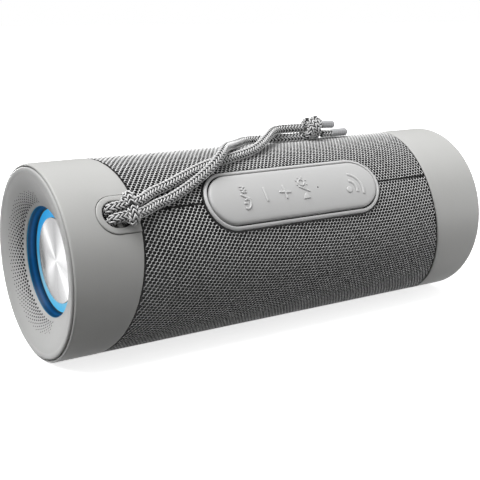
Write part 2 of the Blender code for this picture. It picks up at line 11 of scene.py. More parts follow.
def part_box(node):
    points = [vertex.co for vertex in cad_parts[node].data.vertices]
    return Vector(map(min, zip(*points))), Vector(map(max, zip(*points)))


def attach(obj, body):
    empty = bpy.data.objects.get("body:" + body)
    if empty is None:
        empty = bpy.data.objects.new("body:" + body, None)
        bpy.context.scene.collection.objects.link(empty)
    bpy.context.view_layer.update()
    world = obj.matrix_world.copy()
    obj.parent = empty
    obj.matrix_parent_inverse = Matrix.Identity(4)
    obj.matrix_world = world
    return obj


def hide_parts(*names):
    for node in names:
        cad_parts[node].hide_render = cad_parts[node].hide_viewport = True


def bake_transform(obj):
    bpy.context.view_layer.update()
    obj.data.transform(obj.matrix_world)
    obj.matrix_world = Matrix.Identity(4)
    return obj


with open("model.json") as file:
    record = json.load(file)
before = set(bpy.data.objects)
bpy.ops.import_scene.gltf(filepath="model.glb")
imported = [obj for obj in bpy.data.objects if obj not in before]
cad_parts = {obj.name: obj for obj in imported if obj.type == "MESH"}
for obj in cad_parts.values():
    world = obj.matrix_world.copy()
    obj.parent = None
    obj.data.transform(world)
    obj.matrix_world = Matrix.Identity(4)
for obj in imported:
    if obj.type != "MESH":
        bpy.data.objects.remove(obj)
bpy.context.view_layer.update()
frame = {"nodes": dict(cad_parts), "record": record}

MM = 0.001

# Places and sizes in millimetres, read from the CAD model where it has them
RIGHT_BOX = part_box("right_bezel")
HALF_LENGTH = RIGHT_BOX[1].x / MM
AXIS_HEIGHT = (RIGHT_BOX[0].z + RIGHT_BOX[1].z) / 2 / MM
BODY_RADIUS = 38.0
PANEL_ANGLE = 54.0
CAP_LENGTH = 20.4
CAP_LEAN = 8.6
RNG = np.random.default_rng(7)
SIDES = {-1: "left", 1: "right"}


# ---------------------------------------------------------------- places


def around(x, angle, radius):
    """Points at x, at this angle in degrees from straight up towards the front, and this far from the axis."""
    x, angle, radius = np.broadcast_arrays(x, np.radians(angle), radius)
    y = -radius * np.sin(angle)
    z = radius * np.cos(angle) + AXIS_HEIGHT
    return np.stack([x, y, z], axis=-1).astype(float)


def turned(x, y, out, angle=PANEL_ANGLE):
    """Places on the side that faces this angle: x along the tube, y across it, and out from its axis."""
    c, s = math.cos(math.radians(angle)), math.sin(math.radians(angle))
    return np.stack([x, y * c - out * s, y * s + out * c + AXIS_HEIGHT], axis=-1)


def on_side(x, y, radius, angle=PANEL_ANGLE):
    """Places on a tube of this radius: x along it, and y across the side that faces this angle."""
    x, y, radius = np.broadcast_arrays(np.asarray(x, float), np.asarray(y, float), np.asarray(radius, float))
    return turned(x, y, np.sqrt(np.maximum(radius**2 - y**2, 0)), angle)


def on_plane(outline, out, angle=PANEL_ANGLE):
    """Points of an outline in a plane facing this angle, this far from the tube's axis."""
    x, y = np.asarray(outline, float).T
    return turned(x, y, np.broadcast_to(np.asarray(out, float), y.shape), angle)


def swept_rows(base, normals, profile, angle=PANEL_ANGLE):
    """Rows of points that follow an outline on the tube's side. The profile is (outwards, radius)."""
    rows = []
    for offset, radius in profile:
        p = base + normals * offset
        rows.append(on_side(p[:, 0], p[:, 1], radius, angle))
    return rows


def cap_edge(side, angle):
    """x of a cap's inner edge at this angle."""
    lean = CAP_LEAN * np.cos(np.radians(np.asarray(angle, float) - PANEL_ANGLE))
    return side * (HALF_LENGTH - CAP_LENGTH - lean)


def stadium(half_length, half_width, count):
    """A closed round-ended outline and its outward directions, the same parameter for every size."""
    straight = half_length - half_width
    total = 4 * straight + 2 * math.pi * half_width
    points, normals = [], []
    for i in range(count):
        s = (i + 0.5) / count * total
        if s < 2 * straight:
            p, n = (straight - s, half_width), (0, 1)
        elif s < 2 * straight + math.pi * half_width:
            t = (s - 2 * straight) / half_width
            n = (-math.sin(t), math.cos(t))
            p = (-straight + n[0] * half_width, n[1] * half_width)
        elif s < 4 * straight + math.pi * half_width:
            p, n = (-straight + s - 2 * straight - math.pi * half_width, -half_width), (0, -1)
        else:
            t = (s - 4 * straight - math.pi * half_width) / half_width
            n = (math.sin(t), -math.cos(t))
            p = (straight + n[0] * half_width, n[1] * half_width)
        points.append(p)
        normals.append(n)
    return np.array(points), np.array(normals)


# ---------------------------------------------------------------- meshes


def make_mesh(name, points, faces, material, body="speaker", smooth=True, sharp=None, hollow=False):
    """An object from points in millimetres, its faces turned outwards, or inwards for the wall of a hollow.

    Edges that turn more than sharp degrees stay crisp."""
    points = np.asarray(points, float).reshape(-1, 3)
    if (swept_volume(points, faces) < 0) != hollow:
        faces = [tuple(face)[::-1] for face in faces]
    mesh = bpy.data.meshes.new(name)
    mesh.from_pydata((points * MM).tolist(), [], faces)
    mesh.validate()
    mesh.materials.append(material)
    if smooth:
        mesh.shade_smooth()
        if sharp is not None:
            mesh.set_sharp_from_angle(angle=math.radians(sharp))
    obj = bpy.data.objects.new(name, mesh)
    bpy.context.scene.collection.objects.link(obj)
    if body:
        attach(obj, body)
    return obj


def show(piece, node=None):
    """Hides the CAD node that a piece is drawn in place of, if one is given."""
    if node:
        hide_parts(node)


def swept_volume(points, faces):
    """Six times the volume between the faces and the middle of the points. Its sign tells which way they face."""
    corners = np.array([[f[0], f[i], f[i + 1]] for f in faces for i in range(1, len(f) - 1)])
    return np.linalg.det(points[corners] - points.mean(0)).sum()


def grid_faces(rows, columns, wrap_rows=False, wrap_columns=True, start=0, flip=False):
    """Quads of a grid of points stored row by row."""
    faces = []
    for r in range(rows if wrap_rows else rows - 1):
        for c in range(columns if wrap_columns else columns - 1):
            a, b = r * columns + c, r * columns + (c + 1) % columns
            d, e = (r + 1) % rows * columns + c, (r + 1) % rows * columns + (c + 1) % columns
            quad = (a + start, b + start, e + start, d + start)
            faces.append(quad[::-1] if flip else quad)
    return faces


def lathe(name, profile, side, material, body="speaker", steps=192, closed=True, sharp=28):
    """Turns (depth, radius) points round the tube's axis at one end. The profile runs down its outer side first."""
    angles = np.arange(steps) * 360 / steps
    rows = [around(side * (HALF_LENGTH - depth), angles, radius) for depth, radius in profile]
    faces = grid_faces(len(rows), steps, wrap_rows=closed, flip=side > 0)
    return make_mesh(name, np.concatenate(rows), faces, material, body, sharp=sharp)


def arc(centre, radius, start, end, steps):
    """Points of a rounded corner of a profile, angles in degrees."""
    turns = np.radians(np.linspace(start, end, steps + 1))
    return [(centre[0] + radius * math.cos(t), centre[1] + radius * math.sin(t)) for t in turns]


def triangulate(loops, extra):
    """Points and triangles over closed outlines and some more points, the holes not yet taken out."""
    points = [tuple(p) for loop in loops for p in loop] + [tuple(p) for p in extra]
    edges, at = [], 0
    for loop in loops:
        edges += [(at + i, at + (i + 1) % len(loop)) for i in range(len(loop))]
        at += len(loop)
    made = delaunay_2d_cdt([Vector(p) for p in points], edges, [], 0, 1e-7)
    return np.array([tuple(p) for p in made[0]]), made[2]


def fill(outer, holes, spacing):
    """Triangulates a flat outline with holes, over a grid of points with this spacing."""
    loops = [np.asarray(loop, float) for loop in (outer, *holes)]
    extra = []
    low, high = loops[0].min(0), loops[0].max(0)
    for x in np.arange(low[0] + spacing / 2, high[0], spacing):
        for y in np.arange(low[1] + spacing / 2, high[1], spacing):
            near = min(np.hypot(*(loop - (x, y)).T).min() for loop in loops)
            if near > 0.45 * spacing:
                extra.append((x, y))
    flat, triangles = triangulate(loops, extra)
    kept = []
    for triangle in triangles:
        middle = flat[list(triangle)].mean(0)
        if inside(middle, loops[0]) and not any(inside(middle, loop) for loop in loops[1:]):
            kept.append(tuple(triangle))
    return flat, kept


def inside(point, loop):
    """Whether a point is inside a closed outline."""
    x, y = point
    a, b = loop, np.roll(loop, -1, axis=0)
    crosses = (a[:, 1] > y) != (b[:, 1] > y)
    with np.errstate(divide="ignore", invalid="ignore"):
        at = a[:, 0] + (y - a[:, 1]) / (b[:, 1] - a[:, 1]) * (b[:, 0] - a[:, 0])
    return bool(np.count_nonzero(crosses & (at > x)) % 2)


# ---------------------------------------------------------------- materials


class Nodes:
    """Builds a node tree in a few calls. A value is a number, a colour or another node's output."""

    def __init__(self, tree):
        self.nodes, self.links = tree.nodes, tree.links

    def put(self, socket, value):
        if isinstance(value, bpy.types.NodeSocket):
            self.links.new(value, socket)
        else:
            socket.default_value = value

    def add(self, kind, **inputs):
        node = self.nodes.new(kind)
        for name, value in inputs.items():
            self.put(node.inputs[name.replace("_", " ")], value)
        return node

    def share(self, value, low, high):
        """0 where the value is low, 1 where it is high."""
        return self.add("ShaderNodeMapRange", Value=value, From_Min=low, From_Max=high).outputs["Result"]

    def maths(self, operation, value, other=None):
        node = self.add("ShaderNodeMath", Value=value)
        node.operation = operation
        if other is not None:
            self.put(node.inputs[1], other)
        return node.outputs[0]

    def mix(self, factor, a, b, blend="MIX"):
        node = self.add("ShaderNodeMix")
        node.data_type, node.blend_type = "RGBA", blend
        self.put(node.inputs["Factor"], factor)
        # sockets 6 and 7 are the colours; A and B stand for its numbers too
        self.put(node.inputs[6], a)
        self.put(node.inputs[7], b)
        return node.outputs[2]

    def ramp(self, value, stops):
        """A colour for each value. A stop's colour can be one number, for a grey."""
        node = self.add("ShaderNodeValToRGB", Fac=value)
        elements = node.color_ramp.elements
        while len(elements) < len(stops):
            elements.new(0.5)
        for element, (position, colour) in zip(elements, stops):
            element.position = position
            element.color = (*colour, 1) if isinstance(colour, tuple) else (colour, colour, colour, 1)
        return node.outputs["Color"]


class Shader(Nodes):
    """A Principled material, with the patterns that the materials below share."""

    def __init__(self, name, colour, roughness, metallic=0.0, **sockets):
        self.material = bpy.data.materials.new(name)
        self.material.use_nodes = True
        super().__init__(self.material.node_tree)
        self.bsdf = self.nodes["Principled BSDF"]
        self.bsdf.inputs["Base Color"].default_value = (*colour, 1)
        self.bsdf.inputs["Roughness"].default_value = roughness
        self.bsdf.inputs["Metallic"].default_value = metallic
        for socket, value in sockets.items():
            self.bsdf.inputs[socket.replace("_", " ")].default_value = value
        self.place = self.add("ShaderNodeTexCoord").outputs["Object"]

    def link(self, socket, value):
        self.links.new(value, self.bsdf.inputs[socket])

    def along(self, axis):
        return self.add("ShaderNodeSeparateXYZ", Vector=self.place).outputs[axis]

    def from_axis(self):
        """The distance from the tube's axis, and the two coordinates square to it."""
        split = self.add("ShaderNodeSeparateXYZ", Vector=self.place)
        up = self.maths("SUBTRACT", split.outputs["Z"], AXIS_HEIGHT * MM)
        flat = self.add("ShaderNodeCombineXYZ", X=split.outputs["Y"], Y=up)
        reach = self.add("ShaderNodeVectorMath", Vector=flat.outputs[0])
        reach.operation = "LENGTH"
        return reach.outputs["Value"], split.outputs["Y"], up

    def noise(self, scale, detail=3.0, roughness=0.55):
        node = self.add("ShaderNodeTexNoise", Vector=self.place, Scale=scale, Detail=detail, Roughness=roughness)
        return node.outputs["Fac"]

    def crevice_shade(self, distance, stops):
        """Painted shade between threads that lie closer than this: an occlusion ramp darkens the colour there."""
        node = self.add("ShaderNodeAmbientOcclusion", Distance=distance)
        node.samples = 6
        return self.ramp(node.outputs["AO"], stops)

    def bump(self, height, strength, distance=0.0002, before=None):
        node = self.add("ShaderNodeBump", Height=height, Strength=strength, Distance=distance)
        if before is not None:
            self.links.new(before, node.inputs["Normal"])
        return node.outputs["Normal"]

    def glow(self, share, stops, base, strength):
        """Light in colours that follow the share, over a dark surface that varies between two colours."""
        self.link("Emission Color", self.ramp(share, stops))
        self.link("Base Color", self.ramp(self.noise(300, 3), [(0.3, base[0]), (0.7, base[1])]))
        self.bsdf.inputs["Emission Strength"].default_value = strength
        return self.material

    def yarn(self, colour):
        """A thread of this colour, with the fine relief of its fibres."""
        self.link("Base Color", colour)
        self.link("Normal", self.bump(self.noise(5200, 3), 0.5, 0.00008))
        return self.material


def tint(colour, amount):
    return tuple(min(1.0, c * amount) for c in colour)


def plastic(name, colour, roughness=0.45, grain=0.25, spread=0.06, **sockets):
    """Moulded plastic: a fine spark-eroded grain, slight colour drift and uneven sheen."""
    s = Shader(name, colour, roughness, **sockets)
    drift = s.noise(28, 4)
    speck = s.noise(2600, 2)
    s.link("Base Color", s.ramp(drift, [(0.3, tint(colour, 1 - spread)), (0.7, tint(colour, 1 + spread))]))
    s.link("Roughness", s.ramp(speck, [(0.3, roughness - 0.06), (0.7, roughness + 0.06)]))
    fine = s.bump(s.noise(4200, 2), grain, 0.00006)
    s.link("Normal", s.bump(s.noise(900, 3), grain * 0.6, 0.0001, fine))
    return s.material


def rubber(name, colour, roughness=0.75):
    s = Shader(name, colour, roughness)
    s.link("Base Color", s.ramp(s.noise(40, 5), [(0.3, tint(colour, 0.88)), (0.7, tint(colour, 1.12))]))
    s.link("Normal", s.bump(s.noise(3000, 3), 0.35, 0.00008))
    return s.material


def metal(name, colour):
    """Plated or turned metal with fine drawn streaks."""
    s = Shader(name, colour, 0.3, metallic=1.0)
    value = s.noise(700, 5, 0.7)
    s.link("Roughness", s.ramp(value, [(0.3, 0.21), (0.7, 0.42)]))
    s.link("Normal", s.bump(value, 0.08, 0.00005))
    return s.material


def thread(name, colour):
    """Polyester yarn: fibres, a little sheen and colour that varies from stitch to stitch."""
    s = Shader(name, colour, 0.72, Sheen_Weight=0.25, Sheen_Roughness=0.4)
    return s.yarn(s.ramp(s.noise(900, 4, 0.7), [(0.25, tint(colour, 0.75)), (0.75, tint(colour, 1.12))]))


CAP = plastic("cap_grey", (0.43, 0.43, 0.42), 0.47, 0.3, 0.02, Specular_IOR_Level=0.3)
BEZEL = plastic("bezel_grey", (0.385, 0.385, 0.38), 0.5, 0.2, 0.02, Specular_IOR_Level=0.3)
PANEL = plastic("panel_grey", (0.53, 0.53, 0.53), 0.42, 0.15, 0.02)
SKIN = plastic("skin_grey", (0.48, 0.48, 0.478), 0.6, 0.25, 0.02)
# painted highlight: the marks take a lighter grey than the skin, for the light that their raised strokes catch
MARK = plastic("mark_grey", (0.55, 0.55, 0.548), 0.5, 0.15, 0.02)
# painted shade: a dark grey for the sides of the marks, where shade lies round their raised edges
MARK_SHADE = plastic("mark_painted_shade", (0.22, 0.22, 0.22), 0.7, 0.15, 0.02)
DARK = plastic("black_plastic", (0.012, 0.012, 0.012), 0.6, 0.2)
BLACK = plastic("matte_black", (0.004, 0.004, 0.004), 0.8, 0.2)


def knit():
    """The net's yarn, with painted shade: its colour darkens towards the bottom of the holes."""
    s = Shader("fabric_grey", (0.36, 0.36, 0.36), 0.72, Sheen_Weight=0.2, Sheen_Roughness=0.4)
    # painted shade: by distance from the axis, yarn deep in the holes is coloured down to black, the proud threads
    # lightest
    high = s.share(s.from_axis()[0], 0.0374, 0.03795)
    yarn = s.ramp(high, [(0.55, 0.002), (0.7, 0.35), (0.76, 0.79), (1.0, 0.85)])
    fibres = s.ramp(s.noise(1100, 4, 0.7), [(0.25, 0.84), (0.75, 1.0)])
    return s.yarn(s.mix(1.0, yarn, fibres, "MULTIPLY"))


FABRIC = knit()
SCRIM = thread("scrim_black", (0.008, 0.008, 0.008))


def cord_yarn():
    """The braid's yarn, with painted shade: pale on the outside of each stitch, darkened where stitches dive under
    each other.
    """
    s = Shader("cord_grey", (0.6, 0.6, 0.6), 0.7, Sheen_Weight=0.2, Sheen_Roughness=0.4)
    fibres = s.ramp(s.noise(900, 4, 0.7), [(0.25, 0.52), (0.75, 0.78)])
    return s.yarn(s.mix(1.0, fibres, s.crevice_shade(0.0012, [(0.22, 0.02), (0.5, 1.0)]), "MULTIPLY"))


CORD = cord_yarn()
CORD_CORE = thread("cord_core", (0.012, 0.012, 0.012))
TIP = plastic("tip_grey", (0.40, 0.40, 0.41), 0.4, 0.1, 0.03)
RUBBER = rubber("black_rubber", (0.02, 0.02, 0.02))
GREY_RUBBER = rubber("grey_rubber", (0.33, 0.33, 0.33), 0.6)
STEEL = metal("steel", (0.55, 0.55, 0.56))


def lit_ring():
    """The light ring: clear blue at its top, paler and greyer towards the bottom."""
    s = Shader("light_blue", (0.02, 0.2, 0.35), 0.4, Specular_IOR_Level=0.1)
    share = s.share(s.along("Z"), (AXIS_HEIGHT - 20) * MM, (AXIS_HEIGHT + 20) * MM)
    stops = [
        (0.0, (0.05, 0.42, 0.72)),
        (0.2, (0.20, 0.43, 0.56)),
        (0.5, (0.02, 0.24, 0.46)),
        (0.8, (0.004, 0.28, 0.64)),
        (1.0, (0.005, 0.36, 0.78)),
    ]
    return s.glow(share, stops, ((0.03, 0.12, 0.2), (0.04, 0.16, 0.24)), 0.9)


def lit_tunnel():
    """Smoked blue wall in front of the light ring. It glows in bands, by depth."""
    s = Shader("deep_blue", (0.002, 0.02, 0.05), 0.35, Specular_IOR_Level=0.12)
    depth = s.maths("ABSOLUTE", s.along("X"))
    share = s.share(depth, (HALF_LENGTH - 9.4) * MM, (HALF_LENGTH - 5.8) * MM)
    stops = [
        (0.0, (0.0005, 0.006, 0.016)),
        (0.2, (0.001, 0.035, 0.09)),
        (0.48, (0.003, 0.07, 0.22)),
        (0.68, (0.001, 0.035, 0.09)),
        (0.84, (0.001, 0.03, 0.08)),
        (0.93, (0.01, 0.14, 0.25)),
        (1.0, (0.02, 0.2, 0.33)),
    ]
    return s.glow(share, stops, ((0.001, 0.01, 0.03), (0.002, 0.02, 0.05)), 0.8)


LIGHT = lit_ring()
DEEP = lit_tunnel()


def spun_metal():
    """Spun aluminium: fine rings round the axis spread highlights into fans, and painted highlight fans in its base
    colour brighten and darken it by angle round the axis.
    """
    s = Shader("brushed_metal", (0.5, 0.5, 0.5), 0.27, metallic=1.0, Anisotropic=0.9)
    tangent = s.add("ShaderNodeTangent")
    tangent.direction_type = "RADIAL"
    tangent.axis = "X"
    s.link("Tangent", tangent.outputs["Tangent"])
    reach, across, up = s.from_axis()
    rings = s.add("ShaderNodeTexNoise", Scale=5200.0, Detail=3.0)
    rings.noise_dimensions = "1D"
    s.links.new(reach, rings.inputs["W"])
    s.link("Normal", s.bump(rings.outputs["Fac"], 0.12, 0.00004))
    share = s.share(s.maths("ARCTAN2", across, up), -math.pi, math.pi)
    # (angle round the axis in degrees, brightness): where the painted highlight fans lie
    painted_fans = [
        (0, 0.32), (3, 0.30), (35, 0.44), (46, 0.58), (60, 0.49), (80, 0.40), (100, 0.44),
        (128, 0.48), (150, 0.40), (176, 0.25), (184, 0.25), (205, 0.37), (222, 0.51), (240, 0.44),
        (262, 0.37), (285, 0.44), (304, 0.55), (325, 0.44), (345, 0.32), (360, 0.32),
    ]
    s.link("Base Color", s.ramp(share, [(angle / 360, (v, v, v * 1.01)) for angle, v in painted_fans]))
    return s.material


DISC = spun_metal()

# ---------------------------------------------------------------- camera


def place_camera():
    """A camera off the body's left front, a little above it. Its distance is in radii of the body."""
    azimuth, elevation = math.radians(33.2728), math.radians(13.6182)
    distance, aim_right, aim_up = 10.695, 0.1506, 0.1019
    level = math.cos(elevation)
    back = Vector((-math.sin(azimuth) * level, -math.cos(azimuth) * level, math.sin(elevation)))
    right = (-back).cross(Vector((0, 0, 1))).normalized()
    up = right.cross(-back)
    data = bpy.data.cameras.new("camera")
    data.lens = 70.07
    data.sensor_width = 36
    data.clip_start, data.clip_end = 0.01, 20
    camera = bpy.data.objects.new("camera", data)
    bpy.context.scene.collection.objects.link(camera)
    spot = (back * distance - right * aim_right - up * aim_up) * BODY_RADIUS
    camera.location = (spot + Vector((0, 0, AXIS_HEIGHT))) * MM
    camera.rotation_mode = "QUATERNION"
    camera.rotation_quaternion = (-back).to_track_quat("-Z", "Y")
    bpy.context.scene.camera = camera


place_camera()

# ---------------------------------------------------------------- lanyard

CORD_RADIUS = 1.9
EYELET_X = -79.2

# From the middle of the bight, round the bar: x from the bar, across it, out from the tube's axis
HITCH = [
    (3.4, 0.3, 43.7),
    (3.5, 3.4, 43.6),
    (3.6, 5.0, 42.2),
    (3.3, 3.9, 41.0),
    (3.0, 2.5, 39.7),
    (2.9, 2.12, 37.8),
    (2.9, 2.12, 36.0),
    (2.6, 2.15, 34.2),
    (0.0, 2.1, 32.7),
    (-2.6, 2.15, 34.4),
    (-2.9, 2.15, 36.8),
    (-2.5, 2.1, 38.7),
    (0.0, 2.1, 39.8),
    (3.6, 2.1, 40.8),
]
# Along the body to the knot: x, angle round the tube, out from its axis
UPPER_STRAND = [
    (-70.6, 49.6, 40.7),
    (-64.1, 44.7, 39.4),
    (-55.7, 40.5, 39.3),
    (-46.6, 35.1, 39.3),
    (-38.5, 30.4, 39.3),
    (-31.0, 26.8, 39.3),
    (-24.0, 24.8, 39.3),
    (-17.6, 22.3, 39.3),
    (-10.5, 19.2, 39.5),
    (-4.4, 15.2, 40.3),
    (1.8, 9.1, 41.6),
    (8.0, 2.8, 43.0),
    (13.0, 0.6, 43.4),
    (20.0, 0.4, 43.4),
    (25.2, 0.6, 43.2),
]
LOWER_STRAND = [
    (-70.6, 56.2, 40.7),
    (-64.0, 52.2, 39.4),
    (-58.4, 50.0, 39.3),
    (-52.5, 46.5, 39.3),
    (-46.3, 42.2, 39.5),
    (-40.0, 37.8, 40.6),
    (-34.8, 33.9, 42.2),
    (-29.6, 28.4, 43.4),
    (-24.4, 21.2, 42.8),
    (-18.4, 13.0, 40.6),
    (-11.9, 5.1, 39.3),
    (-4.0, -2.8, 39.3),
    (2.0, -5.0, 39.3),
    (8.6, -2.6, 39.3),
    (16.0, 0.4, 39.3),
    (25.2, 1.6, 39.3),
]
KNOT_PLACE = (30.4, 0.4, 43.0)
UPPER_TIP = [(35.6, -1.6, 43.8), (39.5, -2.4, 43.8), (45.0, -2.6, 43.5)]
LOWER_TIP = [(35.3, 1.6, 40.2), (41.0, 1.6, 40.2), (50.0, 1.4, 40.2)]


def smooth_line(points, spacing):
    """Evenly spaced points along a smooth curve through these."""
    p = np.asarray(points, float)
    p = np.vstack([2 * p[0] - p[1], p, 2 * p[-1] - p[-2]])
    t = np.linspace(0, 1, 16, endpoint=False)[:, None]
    fine = []
    for a, b, c, d in zip(p, p[1:], p[2:], p[3:]):
        square, cube = 2 * a - 5 * b + 4 * c - d, 3 * b - a - 3 * c + d
        fine.append(0.5 * (2 * b + (c - a) * t + square * t**2 + cube * t**3))
    fine = np.vstack([*fine, p[-2:-1]])
    along = np.concatenate([[0], np.cumsum(np.linalg.norm(np.diff(fine, axis=0), axis=1))])
    count = max(2, round(along[-1] / spacing))
    at = np.linspace(0, along[-1], count + 1)
    return np.stack([np.interp(at, along, fine[:, i]) for i in range(3)], axis=1)


def frames_along(line, start=None):
    """Directions along a line, and two square to it that don't twist."""
    ahead = np.gradient(line, axis=0)
    ahead /= np.linalg.norm(ahead, axis=1)[:, None]
    side = np.cross(ahead[0], start if start is not None else (0.0, 0.0, 1.0))
    side /= np.linalg.norm(side)
    sides = [side]
    for direction in ahead[1:]:
        side = sides[-1] - direction * (sides[-1] @ direction)
        sides.append(side / np.linalg.norm(side))
    sides = np.array(sides)
    return ahead, sides, np.cross(ahead, sides)


def strand_line(way, strand):
    """One strand's centreline, a point every millimetre. way is 1 for the upper strand and -1 for the lower."""
    hitch = [turned(EYELET_X + x, way * across, out) for x, across, out in HITCH]
    points = hitch + [around(*point) for point in strand]
    return smooth_line(points, 1.0)


def tube(name, line, radius, material, sides):
    """A plain round tube along a line, with closed ends. radius is a number or one for each point."""
    _, right, up = frames_along(line)
    turns = np.arange(sides) * 2 * math.pi / sides
    radius = np.broadcast_to(np.asarray(radius, float), (len(line),))
    ring = np.cos(turns)[None, :, None] * right[:, None] + np.sin(turns)[None, :, None] * up[:, None]
    points = (line[:, None] + ring * radius[:, None, None]).reshape(-1, 3)
    faces = grid_faces(len(line), sides)
    last = (len(line) - 1) * sides
    faces += [tuple(range(sides))[::-1], tuple(range(last, last + sides))]
    return make_mesh(name, points, faces, material, sharp=50)


def braid(name, line, radius, pitch=1.6, start=None):
    """Slanting stitches round a line, each column mirroring the next, over a dark core."""
    columns, per = 8, 8
    fine = smooth_line(line, pitch / per)
    _, right, up = frames_along(fine, start)
    count = int((len(fine) - 1) / per)
    # one stitch: a pointed grain, six points round at five stations
    stations = np.array([-1.0, -0.62, 0.0, 0.62, 1.0])[:, None]
    girth = np.array([0.3, 0.85, 1.0, 0.85, 0.3])[:, None]
    turns = np.arange(6) * math.pi / 3
    lean = math.radians(40)
    half = 0.62 * 2 * math.pi * radius / columns / math.sin(lean)
    width, thick = 0.31 * pitch * math.sin(lean), 0.17 * radius
    points, faces = [], []
    for column in range(columns):
        way = 1 if column % 2 else -1
        for k in range(count):
            across = width * np.cos(turns) * girth
            along = np.broadcast_to(stations * half, across.shape)
            s = along * math.cos(lean) - way * across * math.sin(lean)
            c = way * along * math.sin(lean) + across * math.cos(lean)
            # a stitch dives at both ends and stands proud in its middle
            lift = radius * (0.94 - 0.17 * stations**2) + thick * np.sin(turns) * girth
            angle = 2 * math.pi * column / columns + (-0.07 if column % 2 else 0.07) + c / radius
            at = np.clip((k + 0.5) * per + s / (pitch / per), 0, len(fine) - 1)
            low = np.minimum(np.floor(at).astype(int), len(fine) - 2)
            share = (at - low)[..., None]
            spot = fine[low] * (1 - share) + fine[low + 1] * share
            out = right[low] * np.cos(angle)[..., None] + up[low] * np.sin(angle)[..., None]
            first = len(points) * 30
            points.append((spot + out * lift[..., None]).reshape(-1, 3))
            faces += grid_faces(5, 6, start=first)
            faces += [tuple(first + i for i in range(6))[::-1], tuple(first + 24 + i for i in range(6))]
    inner = tube(f"{name}_core", fine[:: per // 2], radius * 0.78, CORD_CORE, 12)
    cover = make_mesh(name, np.concatenate(points), faces, CORD)
    return cover, inner


def knot_wrap(tilt, weave, centre, size):
    """One turn of the knot round both strands, leaning to one side, and further out where it crosses over."""
    turn = np.radians(np.arange(0, 361, 12))
    reach = size + weave * 0.42 * np.cos(2 * turn)
    lean = math.radians(tilt)
    y, z = reach * np.sin(turn), reach * np.cos(turn)
    return np.stack([z * math.sin(lean), y, z * math.cos(lean)], axis=1) + centre


def knot():
    """Overhand knot: wraps that cross over each other round the two strands."""
    centre = around(*KNOT_PLACE)
    pieces = []
    wraps = ((34, 1, (0.6, 0, 0), 3.7), (-30, -1, (0.0, 0, 0), 3.7), (10, -0.3, (-2.2, 0, -0.9), 2.9))
    for number, (tilt, weave, shift, size) in enumerate(wraps, 1):
        wrap = knot_wrap(tilt, weave, centre + shift, size)
        pieces += braid(f"lanyard_knot_wrap_{number}", wrap, 1.75, pitch=1.5, start=(1.0, 0, 0))
    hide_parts("lanyard_knot")
    for piece in pieces:
        show(piece)
    return pieces


def lanyard_end(label, points, stub):
    """A strand's end: a little braid, then a moulded sleeve with faint ridges and a rounded end."""
    line = smooth_line([tuple(around(*point)) for point in points], 0.2)
    along = np.concatenate([[0], np.cumsum(np.linalg.norm(np.diff(line, axis=0), axis=1))])
    split = int(np.searchsorted(along, stub))
    cover, core = braid(f"lanyard_{label}_stub", line[: split + 5], 1.6, start=(0, 1.0, 0))
    left = along[-1] - along[split:]
    ridge = 1.68 + 0.07 * np.cos(2 * math.pi * left / 1.1)
    radius = ridge * np.sqrt(1 - np.clip(1 - left / 1.1, 0, 0.999) ** 2)
    radius *= 1 - 0.18 * np.clip(1 - (along[split:] - stub) / 0.4, 0, 1) ** 2
    sleeve = tube(f"lanyard_{label}_sleeve", line[split:], radius, TIP, 28)
    show(sleeve, f"lanyard_{label}_tip")
    show(cover)
    show(core)
    return [cover, core, sleeve]


def make_lanyard():
    """The two strands, each with its end, and the knot that joins them."""
    out = around(0, PANEL_ANGLE, 1.0) - around(0, PANEL_ANGLE, 0.0)
    wraps = knot()
    strands = ((1, "upper", UPPER_STRAND, UPPER_TIP, 1.6), (-1, "lower", LOWER_STRAND, LOWER_TIP, 5.4))
    for way, label, strand, tip, stub in strands:
        line = strand_line(way, strand)
        cover, core = braid(f"lanyard_{label}_cord", line, CORD_RADIUS, start=out)
        show(cover, f"lanyard_{label}_strand")
        show(core)
        pieces = [core, *lanyard_end(label, tip, stub)] + (wraps if way > 0 else [])


make_lanyard()


# ---------------------------------------------------------------- ends


def end_cap(side):
    """Moulded sleeve whose inner edge lies in a leaning plane."""
    steps = 288
    angles = np.arange(steps) * 360 / steps
    edge = side * cap_edge(side, angles)
    outer_corner = arc((HALF_LENGTH - 1.5, BODY_RADIUS - 0.8), 0.8, 8, 90, 6)
    first = outer_corner[-1][0]
    # (distance from the middle of the body, radius), from the bezel's seat round the outside to the inner lip
    rows = [(HALF_LENGTH - 11.0, 37.0), (HALF_LENGTH - 1.3, 36.98), (HALF_LENGTH - 0.82, 37.12), *outer_corner]
    rows += [(first + (edge + 0.5 - first) * share, BODY_RADIUS) for share in (0.1, 0.3, 0.5, 0.7, 0.9)]
    rows += [(edge + x, r) for x, r in arc((0.45, BODY_RADIUS - 0.45), 0.45, 90, 180, 4)]
    rows += [(edge, 37.45), (edge + 2.5, 37.42), (edge + 3.0, 36.9)]
    points = np.concatenate([around(side * x, angles, r) for x, r in rows])
    # a narrow flat underneath, level with the foot pad
    points[:, 2] = np.maximum(points[:, 2], 0.05)
    faces = grid_faces(len(rows), steps, wrap_rows=True, flip=side > 0)
    cap = make_mesh(f"{SIDES[side]}_cap", points, faces, CAP, sharp=40)
    show(cap, f"{SIDES[side]}_end_cap")
    return cap


EYELET_HALF_LENGTH, EYELET_HALF_WIDTH = 6.0, 5.3
BOSS_HALF_WIDTH, BOSS_END = 7.6, -87.5


def edge_of_left_cap(y):
    """x of the left cap's inner edge on the panel side, at y across it."""
    return float(cap_edge(-1, PANEL_ANGLE - math.degrees(math.asin(y / BODY_RADIUS))))


